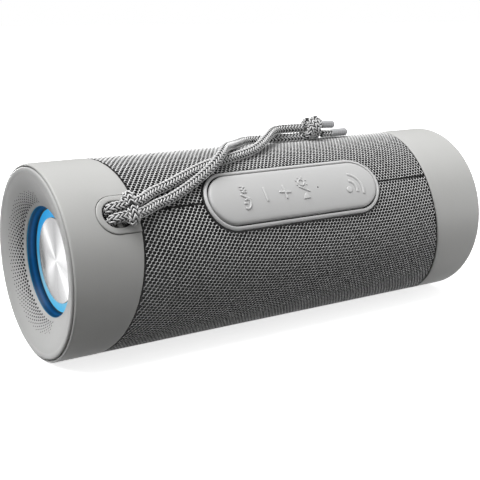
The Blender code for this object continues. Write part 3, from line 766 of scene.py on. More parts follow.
def boss_outline(grow=0.0, past_edge=0.0):
    """U shape round the eyelet, open towards the cap's edge, and its outward directions."""
    radius = BOSS_HALF_WIDTH + grow
    centre = BOSS_END + BOSS_HALF_WIDTH
    bend = [(math.cos(t), math.sin(t)) for t in np.radians(np.linspace(90, 270, 41))]
    end = edge_of_left_cap(BOSS_HALF_WIDTH) + past_edge
    side = [centre + (end - centre) * share for share in np.linspace(0.12, 1, 7)]
    across = np.linspace(-radius, radius, 13)[1:-1]
    edge = [(edge_of_left_cap(np.clip(y, -BOSS_HALF_WIDTH, BOSS_HALF_WIDTH)) + past_edge, y) for y in across]
    points = [(centre + radius * x, radius * y) for x, y in bend]
    points += [(x, -radius) for x in side] + edge + [(x, radius) for x in side[::-1]]
    normals = bend + [(0, -1)] * len(side) + [(1, 0)] * len(edge) + [(0, 1)] * len(side)
    return np.array(points), np.array(normals)


def prism(name, outline, low, high):
    """A plain prism square to the panel side, to cut with."""
    points = np.concatenate([on_plane(outline, low), on_plane(outline, high)])
    count = len(outline)
    faces = grid_faces(2, count) + [tuple(range(count))[::-1], tuple(range(count, 2 * count))]
    return make_mesh(name, points, faces, DARK, None, smooth=False)


def cut_boss_place(cap):
    """Cuts the place of the eyelet's surround from the cap."""
    cutter = prism("eyelet_cutter", boss_outline(0.28, 4.0)[0], 30, 60)
    cut = cap.modifiers.new("eyelet", "BOOLEAN")
    cut.object = cutter
    cut.solver = "EXACT"
    graph = bpy.context.evaluated_depsgraph_get()
    cap.data = bpy.data.meshes.new_from_object(cap.evaluated_get(graph))
    cap.modifiers.clear()
    bpy.data.objects.remove(cutter)
    cap.data.set_sharp_from_angle(angle=math.radians(35))


def crossbar():
    """The bar that the lanyard is hitched round, wider where it meets the eyelet's sides."""
    middle, half_height = 36.45, 0.85
    corners = [(-1, 0.72), (-0.93, 0.9), (-0.75, 1), (0.75, 1), (0.93, 0.9), (1, 0.72)]
    corners += [(1, -0.72), (0.75, -1), (-0.75, -1), (-1, -0.72)]
    steps, count = 23, len(corners)
    rows = []
    for y in np.linspace(-EYELET_HALF_WIDTH - 0.25, EYELET_HALF_WIDTH + 0.25, steps):
        half_width = 0.9 + 1.1 * max(0, abs(y) - 4.7) ** 2
        rise = 0.35 * max(0.0, abs(y) - 4.2)
        rows.append(np.concatenate([
            on_plane([(EYELET_X + half_width * a, y)], middle + b * half_height + rise * (b > 0))
            for a, b in corners]))
    faces = grid_faces(steps, count)
    faces += [tuple(range(count))[::-1], tuple(range((steps - 1) * count, steps * count))]
    show(make_mesh("eyelet_bar", np.concatenate(rows), faces, CAP, sharp=50))


def pad_height(points, drop):
    """How far out the eyelet's pad is: it follows the tube, standing a little proud of it."""
    return np.sqrt((38.42 - drop) ** 2 - points[:, 1] ** 2)


def eyelet(cap):
    """The eyelet in the left cap: raised surround, crossbar, dark pocket and the thin gap round it all, over a black
    ledge that paints its shade.
    """
    cut_boss_place(cap)
    outline, normals = boss_outline()
    hole, hole_normals = stadium(EYELET_HALF_LENGTH, EYELET_HALF_WIDTH, 72)
    hole = hole + (EYELET_X, 0)
    outer_profile = ((0.0, 1.6), (0.0, 0.42), (0.06, 0.2), (0.2, 0.06), (0.42, 0.0))
    inner_profile = ((0.5, 0.0), (0.22, 0.05), (0.06, 0.2), (0.0, 0.45), (0.0, 0.8))
    rows = []
    for base, ways, profile in ((outline, -normals, outer_profile), (hole, hole_normals, inner_profile)):
        for offset, drop in profile:
            p = base + ways * offset
            rows.append(on_plane(p, pad_height(p, drop)))
    flat, triangles = fill(outline - normals * 0.42, [hole + hole_normals * 0.5], 1.1)
    rows.append(on_plane(flat, pad_height(flat, 0)))
    n, m = len(outline), len(hole)
    faces = grid_faces(5, n) + grid_faces(5, m, start=5 * n)
    faces += [tuple(i + 5 * n + 5 * m for i in t) for t in triangles]
    front = on_plane(outline.mean(0)[None], 40)[0]
    show(weld_mesh("eyelet_surround", np.concatenate(rows), faces, CAP, 50, front))
    crossbar()

    walls = [on_plane(hole + hole_normals * 0.04, pad_height(hole, 0.55))]
    for grow, out in ((0.04, 33.0), (0.0, 31.0), (-0.5, 30.3), (-1.5, 30.1)):
        walls.append(on_plane(hole + hole_normals * grow, out))
    faces = grid_faces(5, m) + [tuple(range(4 * m, 5 * m))]
    show(make_mesh("eyelet_pocket", np.concatenate(walls), faces, BLACK, hollow=True))
    # painted shade: a black ledge at the bottom of the gap round the surround
    ledge = [boss_outline(1.0, 0.2)[0], boss_outline(-0.6, -0.6)[0]]
    ledge = [on_plane(p, np.sqrt(37.1**2 - p[:, 1] ** 2)) for p in ledge]
    show(make_mesh("eyelet_gap_shade", np.concatenate(ledge), grid_faces(2, n), BLACK))


def weld_mesh(name, points, faces, material, sharp, outside=None):
    """A mesh whose rows meet: points in the same place become one. outside is a point in front of it."""
    key = np.round(points * 500).astype(np.int64)
    _, first, back = np.unique(key, axis=0, return_index=True, return_inverse=True)
    back = back.reshape(-1)
    faces = [tuple(dict.fromkeys(int(back[i]) for i in face)) for face in faces]
    faces = [face for face in faces if len(face) > 2]
    obj = make_mesh(name, points[first], faces, material, sharp=sharp)
    turn_alike(obj, outside)
    return obj


def turn_alike(obj, outside=None):
    """Makes neighbouring faces agree, and turns them all towards a point in front, if one is given."""
    bm = bmesh.new()
    bm.from_mesh(obj.data)
    bmesh.ops.recalc_face_normals(bm, faces=bm.faces)
    if outside is not None:
        spot = Vector(outside) * MM
        facing = sum(face.normal.dot(spot - face.calc_center_median()) * face.calc_area() for face in bm.faces)
        if facing < 0:
            bmesh.ops.reverse_faces(bm, faces=bm.faces)
    bm.to_mesh(obj.data)
    bm.free()


DISH_OPENING, DISH_RIM = (5.6, 21.65), (0.35, 34.3)


def dish_depth(radius):
    """How far in from the end the dished face is."""
    share = (DISH_RIM[1] - radius) / (DISH_RIM[1] - DISH_OPENING[1])
    return DISH_RIM[0] + (DISH_OPENING[0] - DISH_RIM[0]) * np.clip(share, 0, 1) ** 1.3


def perforations():
    """Circles of the dish's graded pattern: a crescent on the side away from the panel."""
    rows, pitch = 12, 360 / 66
    circles = []
    for row in range(rows):
        radius = 23.1 + 0.63 * row
        for k in range(-18, 19):
            turn = (k + 0.5 * (row % 2)) * pitch
            reach = 30.6 - 3.3 * (turn / 92) ** 2
            if abs(turn) > 93 or radius > reach:
                continue
            size = 0.5 * (1 - 0.62 * row / rows) * (1 - 0.35 * (abs(turn) / 92) ** 3)
            circles.append((radius, -100 + turn, size))
    return circles


def dish_face(side, loops, flat, triangles):
    """The dished face with its perforations, each a short bore."""
    name = SIDES[side]
    radius = np.hypot(flat[:, 0], flat[:, 1])
    depth = dish_depth(radius)
    angle = np.degrees(np.arctan2(-flat[:, 0], flat[:, 1]))
    face_points = around(side * (HALF_LENGTH - depth), angle, radius)
    faces = [tuple(t) if side > 0 else tuple(t[::-1]) for t in triangles]
    face = make_mesh(f"{name}_dish", face_points, faces, BEZEL)
    bore_points, bore_faces = [], []
    for loop in loops:
        r = np.hypot(loop[:, 0], loop[:, 1])
        a = np.degrees(np.arctan2(-loop[:, 0], loop[:, 1]))
        start = len(bore_points) * 2 * len(loop)
        bore_points.append(np.concatenate([
            around(side * (HALF_LENGTH - dish_depth(r)), a, r),
            around(side * (HALF_LENGTH - dish_depth(r) - 0.9), a, r)]))
        bore_faces += grid_faces(2, len(loop), start=start, flip=side < 0)
    bores = make_mesh(f"{name}_dish_bores", np.concatenate(bore_points), bore_faces, DARK)
    turn_alike(face, around(side * (HALF_LENGTH + 60), 0, 0))
    return face, bores


def circle(radius, turns):
    return np.stack([radius * np.cos(turns), radius * np.sin(turns)], axis=1)


def bezels():
    """Both bezels. Their faces share one set of triangles."""
    count = 192
    turn = np.arange(count) * 2 * math.pi / count
    outer, opening = circle(DISH_RIM[1], turn), circle(DISH_OPENING[1], turn)
    loops = []
    corners = np.arange(10) * 2 * math.pi / 10
    for radius, angle, size in perforations():
        a = math.radians(angle)
        middle = np.array([-math.sin(a), math.cos(a)]) * radius
        loops.append(middle + circle(size, corners))
    extra = []
    for r in (22.0, 24.5, 27.0, 29.5, 31.5, 33.0):
        for t in turn[::2]:
            p = np.array([r * math.cos(t), r * math.sin(t)])
            if all(np.hypot(*(loop.mean(0) - p)) > 1.0 for loop in loops):
                extra.append(p)
    flat, triangles = dish_mesh(outer, opening, loops, extra)
    # (depth from the end, radius)
    rim = [DISH_RIM, (0.2, 34.7), (0.09, 35.15), (0.03, 35.6), (0.02, 36.0), (0.08, 36.3)]
    rim += [(0.25, 36.55), (0.5, 36.66), (0.9, 36.68), (11.0, 36.68), (11.0, 35.6), (2.6, 35.3), (7.4, 22.6)]
    rim += [(7.0, 22.3), (6.6, 21.9), (6.0, 21.55), (5.75, 21.5), DISH_OPENING]
    behind = [(7.3, 22.2), (1.3, 34.2), (2.0, 34.4), (7.9, 22.4)]
    for side, name in SIDES.items():
        ring = lathe(f"{name}_bezel_rim", rim, side, BEZEL, closed=False, sharp=40, steps=count)
        face, bores = dish_face(side, loops, flat, triangles)
        back = lathe(f"{name}_dish_back", behind, side, BLACK, steps=96)
        ring.visible_glossy = back.visible_glossy = False
        show(ring, f"{name}_bezel")
        for piece in (face, bores, back):
            show(piece)


def dish_mesh(outer, opening, loops, extra):
    """Triangles of the dish's face, seen along the axis, round its opening and perforations."""
    flat, triangles = triangulate([outer, opening, *loops], extra)
    triangles = np.array([tuple(t) for t in triangles])
    middle = flat[triangles].mean(1)
    keep = (np.hypot(*middle.T) > DISH_OPENING[1] * 0.9995) & (np.hypot(*middle.T) < DISH_RIM[1])
    for loop in loops:
        centre, size = loop.mean(0), np.hypot(*(loop[0] - loop.mean(0)))
        keep &= np.hypot(*(middle - centre).T) > size * 0.97
    return flat, [tuple(int(i) for i in t) for t in triangles[keep]]


def light_ring(side):
    """The tunnel behind the bezel's opening, its lip and the lit ring at its end."""
    name = SIDES[side]
    wall = [(5.95, 21.5), (5.95, 23.2), (9.3, 23.2), (9.35, 20.5), (9.1, 20.45), (8.0, 20.75), (6.8, 21.15)]
    edge = [(9.4, 20.2), (9.4, 21.5), (9.52, 21.5), (9.52, 20.15), (9.45, 20.12)]
    ring = [(9.56, 20.0), (9.56, 23.0), (11.0, 23.0), (11.0, 16.8), (10.3, 16.72), (9.45, 16.75), (9.5, 18.2)]
    tunnel = lathe(f"{name}_tunnel", wall, side, DEEP)
    show(tunnel, f"{name}_tunnel_ring")
    lip = lathe(f"{name}_tunnel_lip", edge, side, BLACK)
    show(lip)
    guide = lathe(f"{name}_glow", ring, side, LIGHT)
    show(guide, f"{name}_light_guide")
    # the disc mirrors the room, as it would past a matt wall
    tunnel.visible_glossy = lip.visible_glossy = guide.visible_glossy = False


def radiator_disc(side):
    """Spun disc, very slightly coned, with a turned edge."""
    name = SIDES[side]
    profile = [(9.32, 0.02), (9.31, 3.0), (9.30, 7.0), (9.28, 11.0), (9.26, 15.0), (9.25, 16.35)]
    profile += [(9.26, 16.56), (9.31, 16.62), (9.6, 16.64), (10.0, 16.64), (10.0, 0.02)]
    disc = lathe(f"{name}_disc", profile, side, DISC, f"{name}_radiator", sharp=30)
    show(disc, f"{name}_radiator_disc")


for end in SIDES:
    cap = end_cap(end)
    if end < 0:
        eyelet(cap)
    light_ring(end)
    radiator_disc(end)
bezels()

# ---------------------------------------------------------------- fabric

FABRIC_PIECES = 6
NET_RADIUS, SCRIM_RADIUS = 37.7, 36.75
# the net's cells: their pitch along and round the tube, their holes, and how the rows lean and bend
PITCH_X, PITCH_ROUND = 1.64, 1.26
HOLE = 0.68
ROW_LEAN, ROW_BEND = 0.11, 0.0012
# radii of the threads where they meet, between there, on the way down to the hole, and at its bottom
MEETING, THREAD, SLOPE, BOTTOM = 37.95, 37.86, 37.8, 37.46
PANEL_HALF_LENGTH, PANEL_HALF_WIDTH = 42.8, 12.4
PORT_ANGLE = -90.0
PORT_HALF_LENGTH, PORT_HALF_WIDTH = 17.0, 7.4


def panel_distance(x, arc_y, half_length, half_width):
    """How far outside a stadium a point of the unrolled surface is. Negative inside."""
    straight = half_length - half_width
    dx = np.maximum(np.abs(x) - straight, 0)
    return np.hypot(dx, arc_y) - half_width


def net():
    """Knitted net round the tube: a hole in each cell, threads standing proud where they meet."""
    turn = 2 * math.pi * NET_RADIUS
    rows = round(turn / PITCH_ROUND)
    step = turn / rows
    columns = int(180 / PITCH_X) + 4
    j, i = np.meshgrid(np.arange(-30, rows + 30), np.arange(-columns // 2, columns // 2 + 1), indexing="ij")

    def from_panel(s):
        """A place round the tube, from the panel's middle and at most half a turn either way."""
        return (s + turn / 2) % turn - turn / 2

    # each cell's middle: x along the tube, s round it from the panel's middle
    x0 = (i + 0.5 * (j % 2)) * PITCH_X
    s0 = j * step + ROW_LEAN * x0 - ROW_BEND * x0**2
    angle = PANEL_ANGLE + np.degrees(s0 / NET_RADIUS)
    from_port = from_panel(s0 - math.radians(PORT_ANGLE - PANEL_ANGLE) * NET_RADIUS)
    keep = (s0 > -0.55 * step) & (s0 < turn + 0.55 * step)
    keep &= (x0 > cap_edge(-1, angle) - 1.6) & (x0 < cap_edge(1, angle) + 1.6)
    keep &= panel_distance(x0, from_panel(s0), PANEL_HALF_LENGTH - 0.8, PANEL_HALF_WIDTH - 0.8) > 0
    keep &= panel_distance(x0, from_port, PORT_HALF_LENGTH - 0.8, PORT_HALF_WIDTH - 0.8) > 0
    x0, s0 = x0[keep], s0[keep]

    # one cell: a six-sided outline with a point between its corners, and a round hole
    ring = np.arange(12)
    wide, tall = PITCH_X / 2, step * 2 / 3
    edge_x, edge_s = np.empty(12), np.empty(12)
    corner_x = np.array([0, wide, wide, 0, -wide, -wide])
    corner_s = np.array([tall, tall / 2, -tall / 2, -tall, -tall / 2, tall / 2])
    for edge, corner in ((edge_x, corner_x), (edge_s, corner_s)):
        edge[::2], edge[1::2] = corner, (corner + np.roll(corner, -1)) / 2
    proud = np.where(ring % 2 == 0, MEETING, THREAD)
    around_hole = np.pi / 2 - ring * math.pi / 6
    hole_x, hole_s = 1.09 * HOLE * np.cos(around_hole), 0.93 * HOLE * np.sin(around_hole)
    jitter = RNG.normal(0, 0.012, (len(x0), 3))
    for part in range(FABRIC_PIECES):
        low = part * turn / FABRIC_PIECES if part else -np.inf
        high = (part + 1) * turn / FABRIC_PIECES if part < FABRIC_PIECES - 1 else np.inf
        chosen = (s0 >= low) & (s0 < high)
        cx, cs, jit = x0[chosen, None], s0[chosen, None], jitter[chosen]
        outer_x = cx + edge_x
        outer_s = cs + edge_s + ROW_LEAN * edge_x - 2 * ROW_BEND * cx * edge_x
        inner_x = cx + hole_x * (1 + jit[:, 2:]) + jit[:, :1]
        inner_s = cs + hole_s * (1 + jit[:, 2:]) + jit[:, 1:2]
        xs = np.stack([outer_x, outer_x * 0.2 + inner_x * 0.8, inner_x], axis=1)
        ss = np.stack([outer_s, outer_s * 0.2 + inner_s * 0.8, inner_s], axis=1)
        heights = np.stack([proud, np.full(12, SLOPE), np.full(12, BOTTOM)])
        rs = np.broadcast_to(heights, xs.shape)
        # at the seam both sides are drawn in, and end on it
        near = np.minimum(ss, turn - ss)
        ss = np.clip(ss, 0.12, turn - 0.12)
        rs = rs - 0.45 * np.clip(1 - near / 0.8, 0, 1) ** 2
        # it dives under the panel's rim
        off = panel_distance(xs, from_panel(ss), PANEL_HALF_LENGTH, PANEL_HALF_WIDTH)
        rs = rs - 0.9 * np.clip(1 - off / 0.85, 0, 1)
        # and under the caps' edges
        angle = PANEL_ANGLE + np.degrees(ss / NET_RADIUS)
        from_cap = np.minimum(xs - cap_edge(-1, angle), cap_edge(1, angle) - xs)
        rs = rs - 0.75 * np.clip((0.9 - from_cap) / 0.9, 0, 1)
        points = around(xs, angle, rs).reshape(-1, 3)
        # the body's weight presses it flat on the floor
        points[:, 2] = np.maximum(points[:, 2], 0.01)
        base = np.arange(len(cx))[:, None] * 36
        faces = []
        for band in (0, 12):
            a, b = base + band + ring, base + band + np.roll(ring, -1)
            faces.append(np.stack([a, b, b + 12, a + 12], axis=2).reshape(-1, 4))
        faces = np.concatenate(faces)
        # weld what neighbouring cells share
        key = np.round(points * 200).astype(np.int64)
        _, first, back = np.unique(key, axis=0, return_index=True, return_inverse=True)
        faces = back.reshape(-1)[faces]
        good = np.array([len(set(f)) == 4 for f in faces.tolist()])
        piece = quick_mesh(f"fabric_{part + 1}", points[first], faces[good], FABRIC)
        show(piece, None if part else "fabric_sleeve")


def scrim():
    """Thin black cloth between the net and the shells."""
    steps, columns = 240, 90
    angles = PANEL_ANGLE + np.arange(steps) * 360 / steps
    share = np.linspace(0, 1, columns)[:, None]
    x = (cap_edge(-1, angles) - 1.2) * (1 - share) + (cap_edge(1, angles) + 1.2) * share
    points = around(x, angles[None, :], SCRIM_RADIUS).reshape(-1, 3)
    faces = np.array(grid_faces(columns, steps))
    middle = points[faces].mean(1)
    angle = np.degrees(np.arctan2(-middle[:, 1], middle[:, 2] - AXIS_HEIGHT))
    keep = np.ones(len(faces), bool)
    openings = (
        (PANEL_ANGLE, PANEL_HALF_LENGTH - 1.5, PANEL_HALF_WIDTH - 1.5),
        (PORT_ANGLE, PORT_HALF_LENGTH - 1, PORT_HALF_WIDTH - 1),
    )
    for centre, length, width in openings:
        off = np.radians((angle - centre + 180) % 360 - 180) * SCRIM_RADIUS
        keep &= panel_distance(middle[:, 0], off, length, width) > 0
    used, back = np.unique(faces[keep], return_inverse=True)
    cloth = quick_mesh("scrim", points[used], back.reshape(-1, 4), SCRIM)


def quick_mesh(name, points, quads, material):
    """A mesh of many quads, set in one go and turned away from the tube's axis."""
    mesh = bpy.data.meshes.new(name)
    mesh.vertices.add(len(points))
    mesh.vertices.foreach_set("co", (points * MM).astype(np.float32).ravel())
    mesh.loops.add(quads.size)
    mesh.loops.foreach_set("vertex_index", quads.astype(np.int32).ravel())
    mesh.polygons.add(len(quads))
    mesh.polygons.foreach_set("loop_start", np.arange(0, quads.size, 4, dtype=np.int32))
    mesh.update(calc_edges=True)
    mesh.materials.append(material)
    mesh.shade_smooth()
    face = mesh.polygons[0]
    if face.normal.dot(face.center - Vector((face.center.x, 0, AXIS_HEIGHT * MM))) < 0:
        mesh.flip_normals()
    obj = bpy.data.objects.new(name, mesh)
    bpy.context.scene.collection.objects.link(obj)
    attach(obj, "speaker")
    return obj


net()
scrim()

# ---------------------------------------------------------------- panel

PANEL_STEPS = 220

def band(name, profile, material, closed=False):
    """A moulding that follows the panel's outline. Its profile is (outwards, radius)."""
    base, normals = stadium(PANEL_HALF_LENGTH, PANEL_HALF_WIDTH, PANEL_STEPS)
    rows = swept_rows(base, normals, profile)
    faces = grid_faces(len(rows), PANEL_STEPS, wrap_rows=closed)
    return make_mesh(name, np.concatenate(rows), faces, material, sharp=40)


def panel():
    """The panel's raised rim, and black strips on both sides of it that paint shade into its gaps."""
    rim = [(0, 36.4), (0, 38.25), (-0.1, 38.55), (-0.35, 38.8), (-0.7, 38.9), (-1.0, 38.88)]
    rim += [(-1.25, 38.75), (-1.38, 38.5), (-1.4, 37.0), (-4.0, 37.0), (-4.0, 36.4)]
    show(band("panel_rim", rim, PANEL, closed=True), "panel_bezel")
    # painted shade: black strips at the bottom of the groove inside the rim and in the gap under its outer edge
    gaps = {
        "panel_groove_shade": [(-1.3, 37.25), (-2.3, 37.25)],
        "panel_shadow_gap": [(0.04, 38.2), (0.04, 37.82), (0.5, 37.78), (0.6, 37.3)],
    }
    for name, gap in gaps.items():
        strip = band(name, gap, BLACK)
        face_front(strip)
        show(strip)


def face_front(obj, angle=PANEL_ANGLE):
    """Turns an open piece on the tube's side so that it faces outwards."""
    turn_alike(obj, around(0, angle, 200))


panel()


SKIN_RADIUS = 39.42
KEYS = {"power": -25.6, "minus": -15.8, "plus": -6.2, "play": 3.6}
# half width and half length of the patch that moves with a key, and of the hole in the cover round it
KEY_FACE, KEY_HOLE = (2.9, 5.8), (4.1, 7.0)
MICROPHONE = (10.2, 0.1)


def key_outline(middle, half_width, half_length):
    points, _ = stadium(half_length, half_width, 48)
    return np.stack([middle - points[:, 1], points[:, 0]], axis=1)


def cover_patch(name, flat, faces, body="speaker"):
    """A patch of the soft cover. It takes the tube's own normals, so that its joins don't show."""
    patch = make_mesh(name, on_side(flat[:, 0], flat[:, 1], SKIN_RADIUS), faces, SKIN, body)
    face_front(patch)
    axis = [Vector((0, vertex.co.y, vertex.co.z - AXIS_HEIGHT * MM)).normalized() for vertex in patch.data.vertices]
    patch.data.normals_split_custom_set_from_vertices(axis)
    return patch


def skin():
    """Soft cover: a rounded edge, then one smooth face over the keys."""
    base, normals = stadium(PANEL_HALF_LENGTH - 2.05, PANEL_HALF_WIDTH - 2.05, PANEL_STEPS)
    edge = [(-0.3, 37.6), (0, 37.7), (0, 38.6), (-0.08, 38.95), (-0.3, 39.2), (-0.65, 39.34)]
    edge += [(-1.2, 39.4), (-1.9, SKIN_RADIUS)]
    rows = swept_rows(base, normals, edge)
    border = make_mesh("button_cover_edge", np.concatenate(rows), grid_faces(len(rows), PANEL_STEPS), SKIN, sharp=70)
    face_front(border)
    holes = [key_outline(x, *KEY_HOLE) for x in KEYS.values()]
    pinhole = circle(1.0, np.arange(12) * math.pi / 6) * 0.33 + MICROPHONE
    flat, triangles = fill(base - normals * 1.9, [*holes, pinhole], 1.7)
    cover = cover_patch("button_cover", flat, triangles)
    bore = np.concatenate([on_side(*pinhole.T, SKIN_RADIUS), on_side(*pinhole.T, SKIN_RADIUS - 1.4)])
    faces = grid_faces(2, 12) + [tuple(range(12, 24))]
    bore = make_mesh("microphone_bore", bore, faces, BLACK, hollow=True)
    show(cover, "button_skin")
    show(border)
    show(bore)
    for key, x in KEYS.items():
        soft_key(key, x)


def soft_key(key, x):
    """The cover over one key: a middle that moves with the key, and a web round it between the middle and the hole
    in the cover.
    """
    inner, outer = key_outline(x, *KEY_FACE), key_outline(x, *KEY_HOLE)
    flat, triangles = fill(inner, [], 1.4)
    show(cover_patch(f"{key}_key_cover", flat, triangles, f"{key}_button"))
    for sector in range(12):
        at = [(sector * 4 + i) % 48 for i in range(5)]
        points = np.concatenate([inner[at] * (1 - t) + outer[at] * t for t in (0, 1 / 3, 2 / 3, 1)])
        web = cover_patch(f"{key}_key_web_{sector + 1}", points, grid_faces(4, 5, wrap_columns=False), None)
        show(web)
        ends = [Vector(on_side(*loop[at[2]], SKIN_RADIUS)) * MM for loop in (inner, outer)]
        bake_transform(web)


skin()


def ridge(name, points, body, width=0.85, height=0.42, closed=False, rounded=True):
    """An embossed stroke on the cover along these places: rounded top, sides that run down into the skin."""
    if rounded:
        line = smooth_line([(x, y, 0) for x, y in points + points[: int(closed)]], 0.25)[:, :2]
    else:
        fine = []
        for a, b in zip(points, points[1:]):
            steps = max(2, int(math.dist(a, b) / 0.3))
            fine += [tuple(np.array(a) + (np.array(b) - a) * i / steps) for i in range(steps)]
        line = np.array([*fine, points[-1]])
    # a stroke with ends is narrower and lower there
    taper, lower = np.ones(len(line)), np.ones(len(line))
    if closed:
        line = line[:-1]
        taper, lower = taper[:-1], lower[:-1]
        ahead = np.roll(line, -1, axis=0) - np.roll(line, 1, axis=0)
    else:
        ahead = np.gradient(line, axis=0)
        taper[[0, -1]], lower[[0, -1]] = 0.45, 0.3
    ahead /= np.linalg.norm(ahead, axis=1)[:, None]
    side = np.stack([-ahead[:, 1], ahead[:, 0]], axis=1)
    half = [(0.3, 0.95), (0.46, 0.6), (0.52, 0.04), (0.66, 0.02)]
    section = [(-across, high) for across, high in half[::-1]] + [(0.0, 1.0)] + half
    rows = []
    for across, high in section:
        p = line + side * (across * width * taper)[:, None]
        rows.append(on_side(p[:, 0], p[:, 1], SKIN_RADIUS + high * height * lower))
    points = np.stack(rows, axis=1).reshape(-1, 3)
    last = len(section) - 1
    faces = grid_faces(len(line), len(section), wrap_rows=closed, wrap_columns=False)
    mark = make_mesh(name, points, faces, MARK, body)

    # the outermost faces on each side take the painted shade
    def on_edge(face):
        columns = {vertex % len(section) for vertex in face.vertices}
        return columns <= {0, 1} or columns <= {last - 1, last}

    finish_mark(mark, on_edge)


def flat_mark(name, corners, body):
    """A filled embossed shape with softened edges."""
    height = 0.36
    corners = np.array(corners, float)
    middle = corners.mean(0)
    rows = []
    for grow, high in ((0.26, 0.02), (0.12, 0.04), (0.08, 0.6), (-0.04, 0.95), (-0.22, 1.0)):
        spread = corners - middle
        p = middle + spread * (1 + grow / np.linalg.norm(spread, axis=1))[:, None]
        rows.append(on_side(p[:, 0], p[:, 1], SKIN_RADIUS + high * height))
    count = len(corners)
    faces = grid_faces(5, count) + [tuple(range(4 * count, 5 * count))]
    mark = make_mesh(name, np.concatenate(rows), faces, MARK, body, sharp=60)
    # its two outer rows take the painted shade
    finish_mark(mark, lambda face: max(face.vertices) < 2 * count)


def finish_mark(mark, on_edge):
    """Faces an embossed mark outwards and paints shade, in dark grey, on the line where it leaves the skin."""
    face_front(mark)
    mark.data.materials.append(MARK_SHADE)
    for face in mark.data.polygons:
        face.material_index = int(on_edge(face))
    show(mark)


def bow(middle, radius, start, end, steps):
    """Places along a piece of a circle, angles in degrees."""
    turns = np.radians(np.linspace(start, end, steps))
    return [(middle[0] + radius * math.cos(t), middle[1] + radius * math.sin(t)) for t in turns]


def marks():
    """Generic signs for mode, power, minus, plus, light with play, and sound."""
    power, play = "power_button", "play_button"
    zigzag = [(-26.8, 4.5), (-24.5, 4.2), (-26.6, 3.1), (-24.2, 2.9), (-26.3, 1.9), (-24.0, 1.6)]
    hook = [(-26.2, -1.6), (-24.9, -1.3), (-23.8, -2.0), (-23.85, -3.35)]
    hook += [(-24.6, -4.6), (-25.8, -5.2), (-26.8, -4.7)]
    ridge("mode_mark", zigzag, power, 0.6, rounded=False)
    ridge("power_slash", [(-27.4, 0.9), (-23.3, -1.4)], power, 0.75)
    ridge("power_ring", hook, power, 0.75)
    ridge("power_bar", [(-26.9, -2.85), (-25.2, -3.05)], power, 0.75)
    ridge("minus_mark", [(-15.9, 3.1), (-15.7, -3.3)], "minus_button")
    ridge("plus_mark_1", [(-6.7, 3.0), (-6.3, -3.2)], "plus_button")
    ridge("plus_mark_2", [(-9.3, 0.1), (-3.6, -0.5)], "plus_button", height=0.41)
    lamp = (2.9, 3.1)
    ridge("light_ring_mark", bow(lamp, 1.35, 0, 330, 12), play, 0.5, closed=True)
    for number in range(8):
        turn = math.radians(45 * number + 20)
        ray = [(lamp[0] + r * math.cos(turn), lamp[1] + r * math.sin(turn)) for r in (2.15, 2.95)]
        ridge(f"light_ray_{number + 1}", ray, play, 0.45)
    ridge("play_slash", [(1.0, 1.5), (5.5, -1.2)], play, 0.75)
    flat_mark("play_triangle", [(3.3, -1.5), (4.9, -4.0), (1.6, -4.1)], play)
    # two arcs and a dot, for sound
    source = (25.6, -2.6)
    flat_mark("sound_dot", bow(source, 1.3, 0, 330, 12), "speaker")
    ridge("sound_arc_1", bow(source, 4.1, -22, 76, 20), "speaker", 1.25, 0.36)
    ridge("sound_arc_2", bow(source, 7.3, -22, 76, 28), "speaker", 1.25, 0.36)


marks()

# ---------------------------------------------------------------- port and feet


def port():
    """Rounded frame round the sockets at the back, and the rubber flap that closes it."""
    count = 160
    base, normals = stadium(PORT_HALF_LENGTH, PORT_HALF_WIDTH, count)
    profile = [(0, 36.0), (0, 37.35), (-0.1, 37.6), (-0.35, 37.76), (-0.8, 37.8), (-2.3, 37.8), (-2.7, 37.72)]
    profile += [(-2.95, 37.5), (-3.0, 37.2), (-3.0, 34.0), (-1.6, 34.0), (-1.6, 36.0)]
    rows = swept_rows(base, normals, profile, PORT_ANGLE)
    faces = grid_faces(len(rows), count, wrap_rows=True)
    show(make_mesh("port_frame", np.concatenate(rows), faces, PANEL, sharp=40), "port_bezel")
    flap_lid()
    for number, y in enumerate((1.35, 0.65, -0.05), 1):
        flap_rib(number, y)


def flap_lid():
    """The rubber lid: a rounded rim, closed by a flat face on each side."""
    count, top, bottom = 120, 37.5, 35.95
    base, normals = stadium(12.8, 4.0, count)
    profile = [(-0.2, bottom), (0, 36.1), (0, 37.1), (-0.08, 37.32), (-0.3, 37.46), (-0.7, top)]
    profile += [(-1.25, top), (-1.45, 37.3), (-1.65, top)]
    rows = swept_rows(base, normals, profile, PORT_ANGLE)
    faces, start = grid_faces(len(rows), count), len(rows) * count
    for inward, spacing, radius in ((1.65, 1.2, top), (0.2, 1.6, bottom)):
        flat, triangles = fill(base - normals * inward, [], spacing)
        rows.append(on_side(flat[:, 0], flat[:, 1], radius, PORT_ANGLE))
        faces += [tuple(i + start for i in t) for t in triangles]
        start += len(flat)
    lid = weld_mesh("port_flap_lid", np.concatenate(rows), faces, GREY_RUBBER, 45)
    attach(lid, "flap")
    show(lid, "port_flap")


def flap_rib(number, y):
    """A low rib on the lid, to catch a fingernail."""
    steps = 17
    section = ((-1, 0), (-0.6, 0.8), (0, 1), (0.6, 0.8), (1, 0))
    points = []
    for x in np.linspace(-3.2, 3.2, steps):
        thin = math.sqrt(max(0.05, 1 - (x / 3.3) ** 4))
        points += [on_side(x, y + a * 0.24 * thin, 37.44 + b * 0.3 * thin, PORT_ANGLE) for a, b in section]
    faces = grid_faces(steps, len(section), wrap_columns=False)
    rib = make_mesh(f"port_flap_rib_{number}", points, faces, GREY_RUBBER, "flap")
    face_front(rib, PORT_ANGLE)
    show(rib)


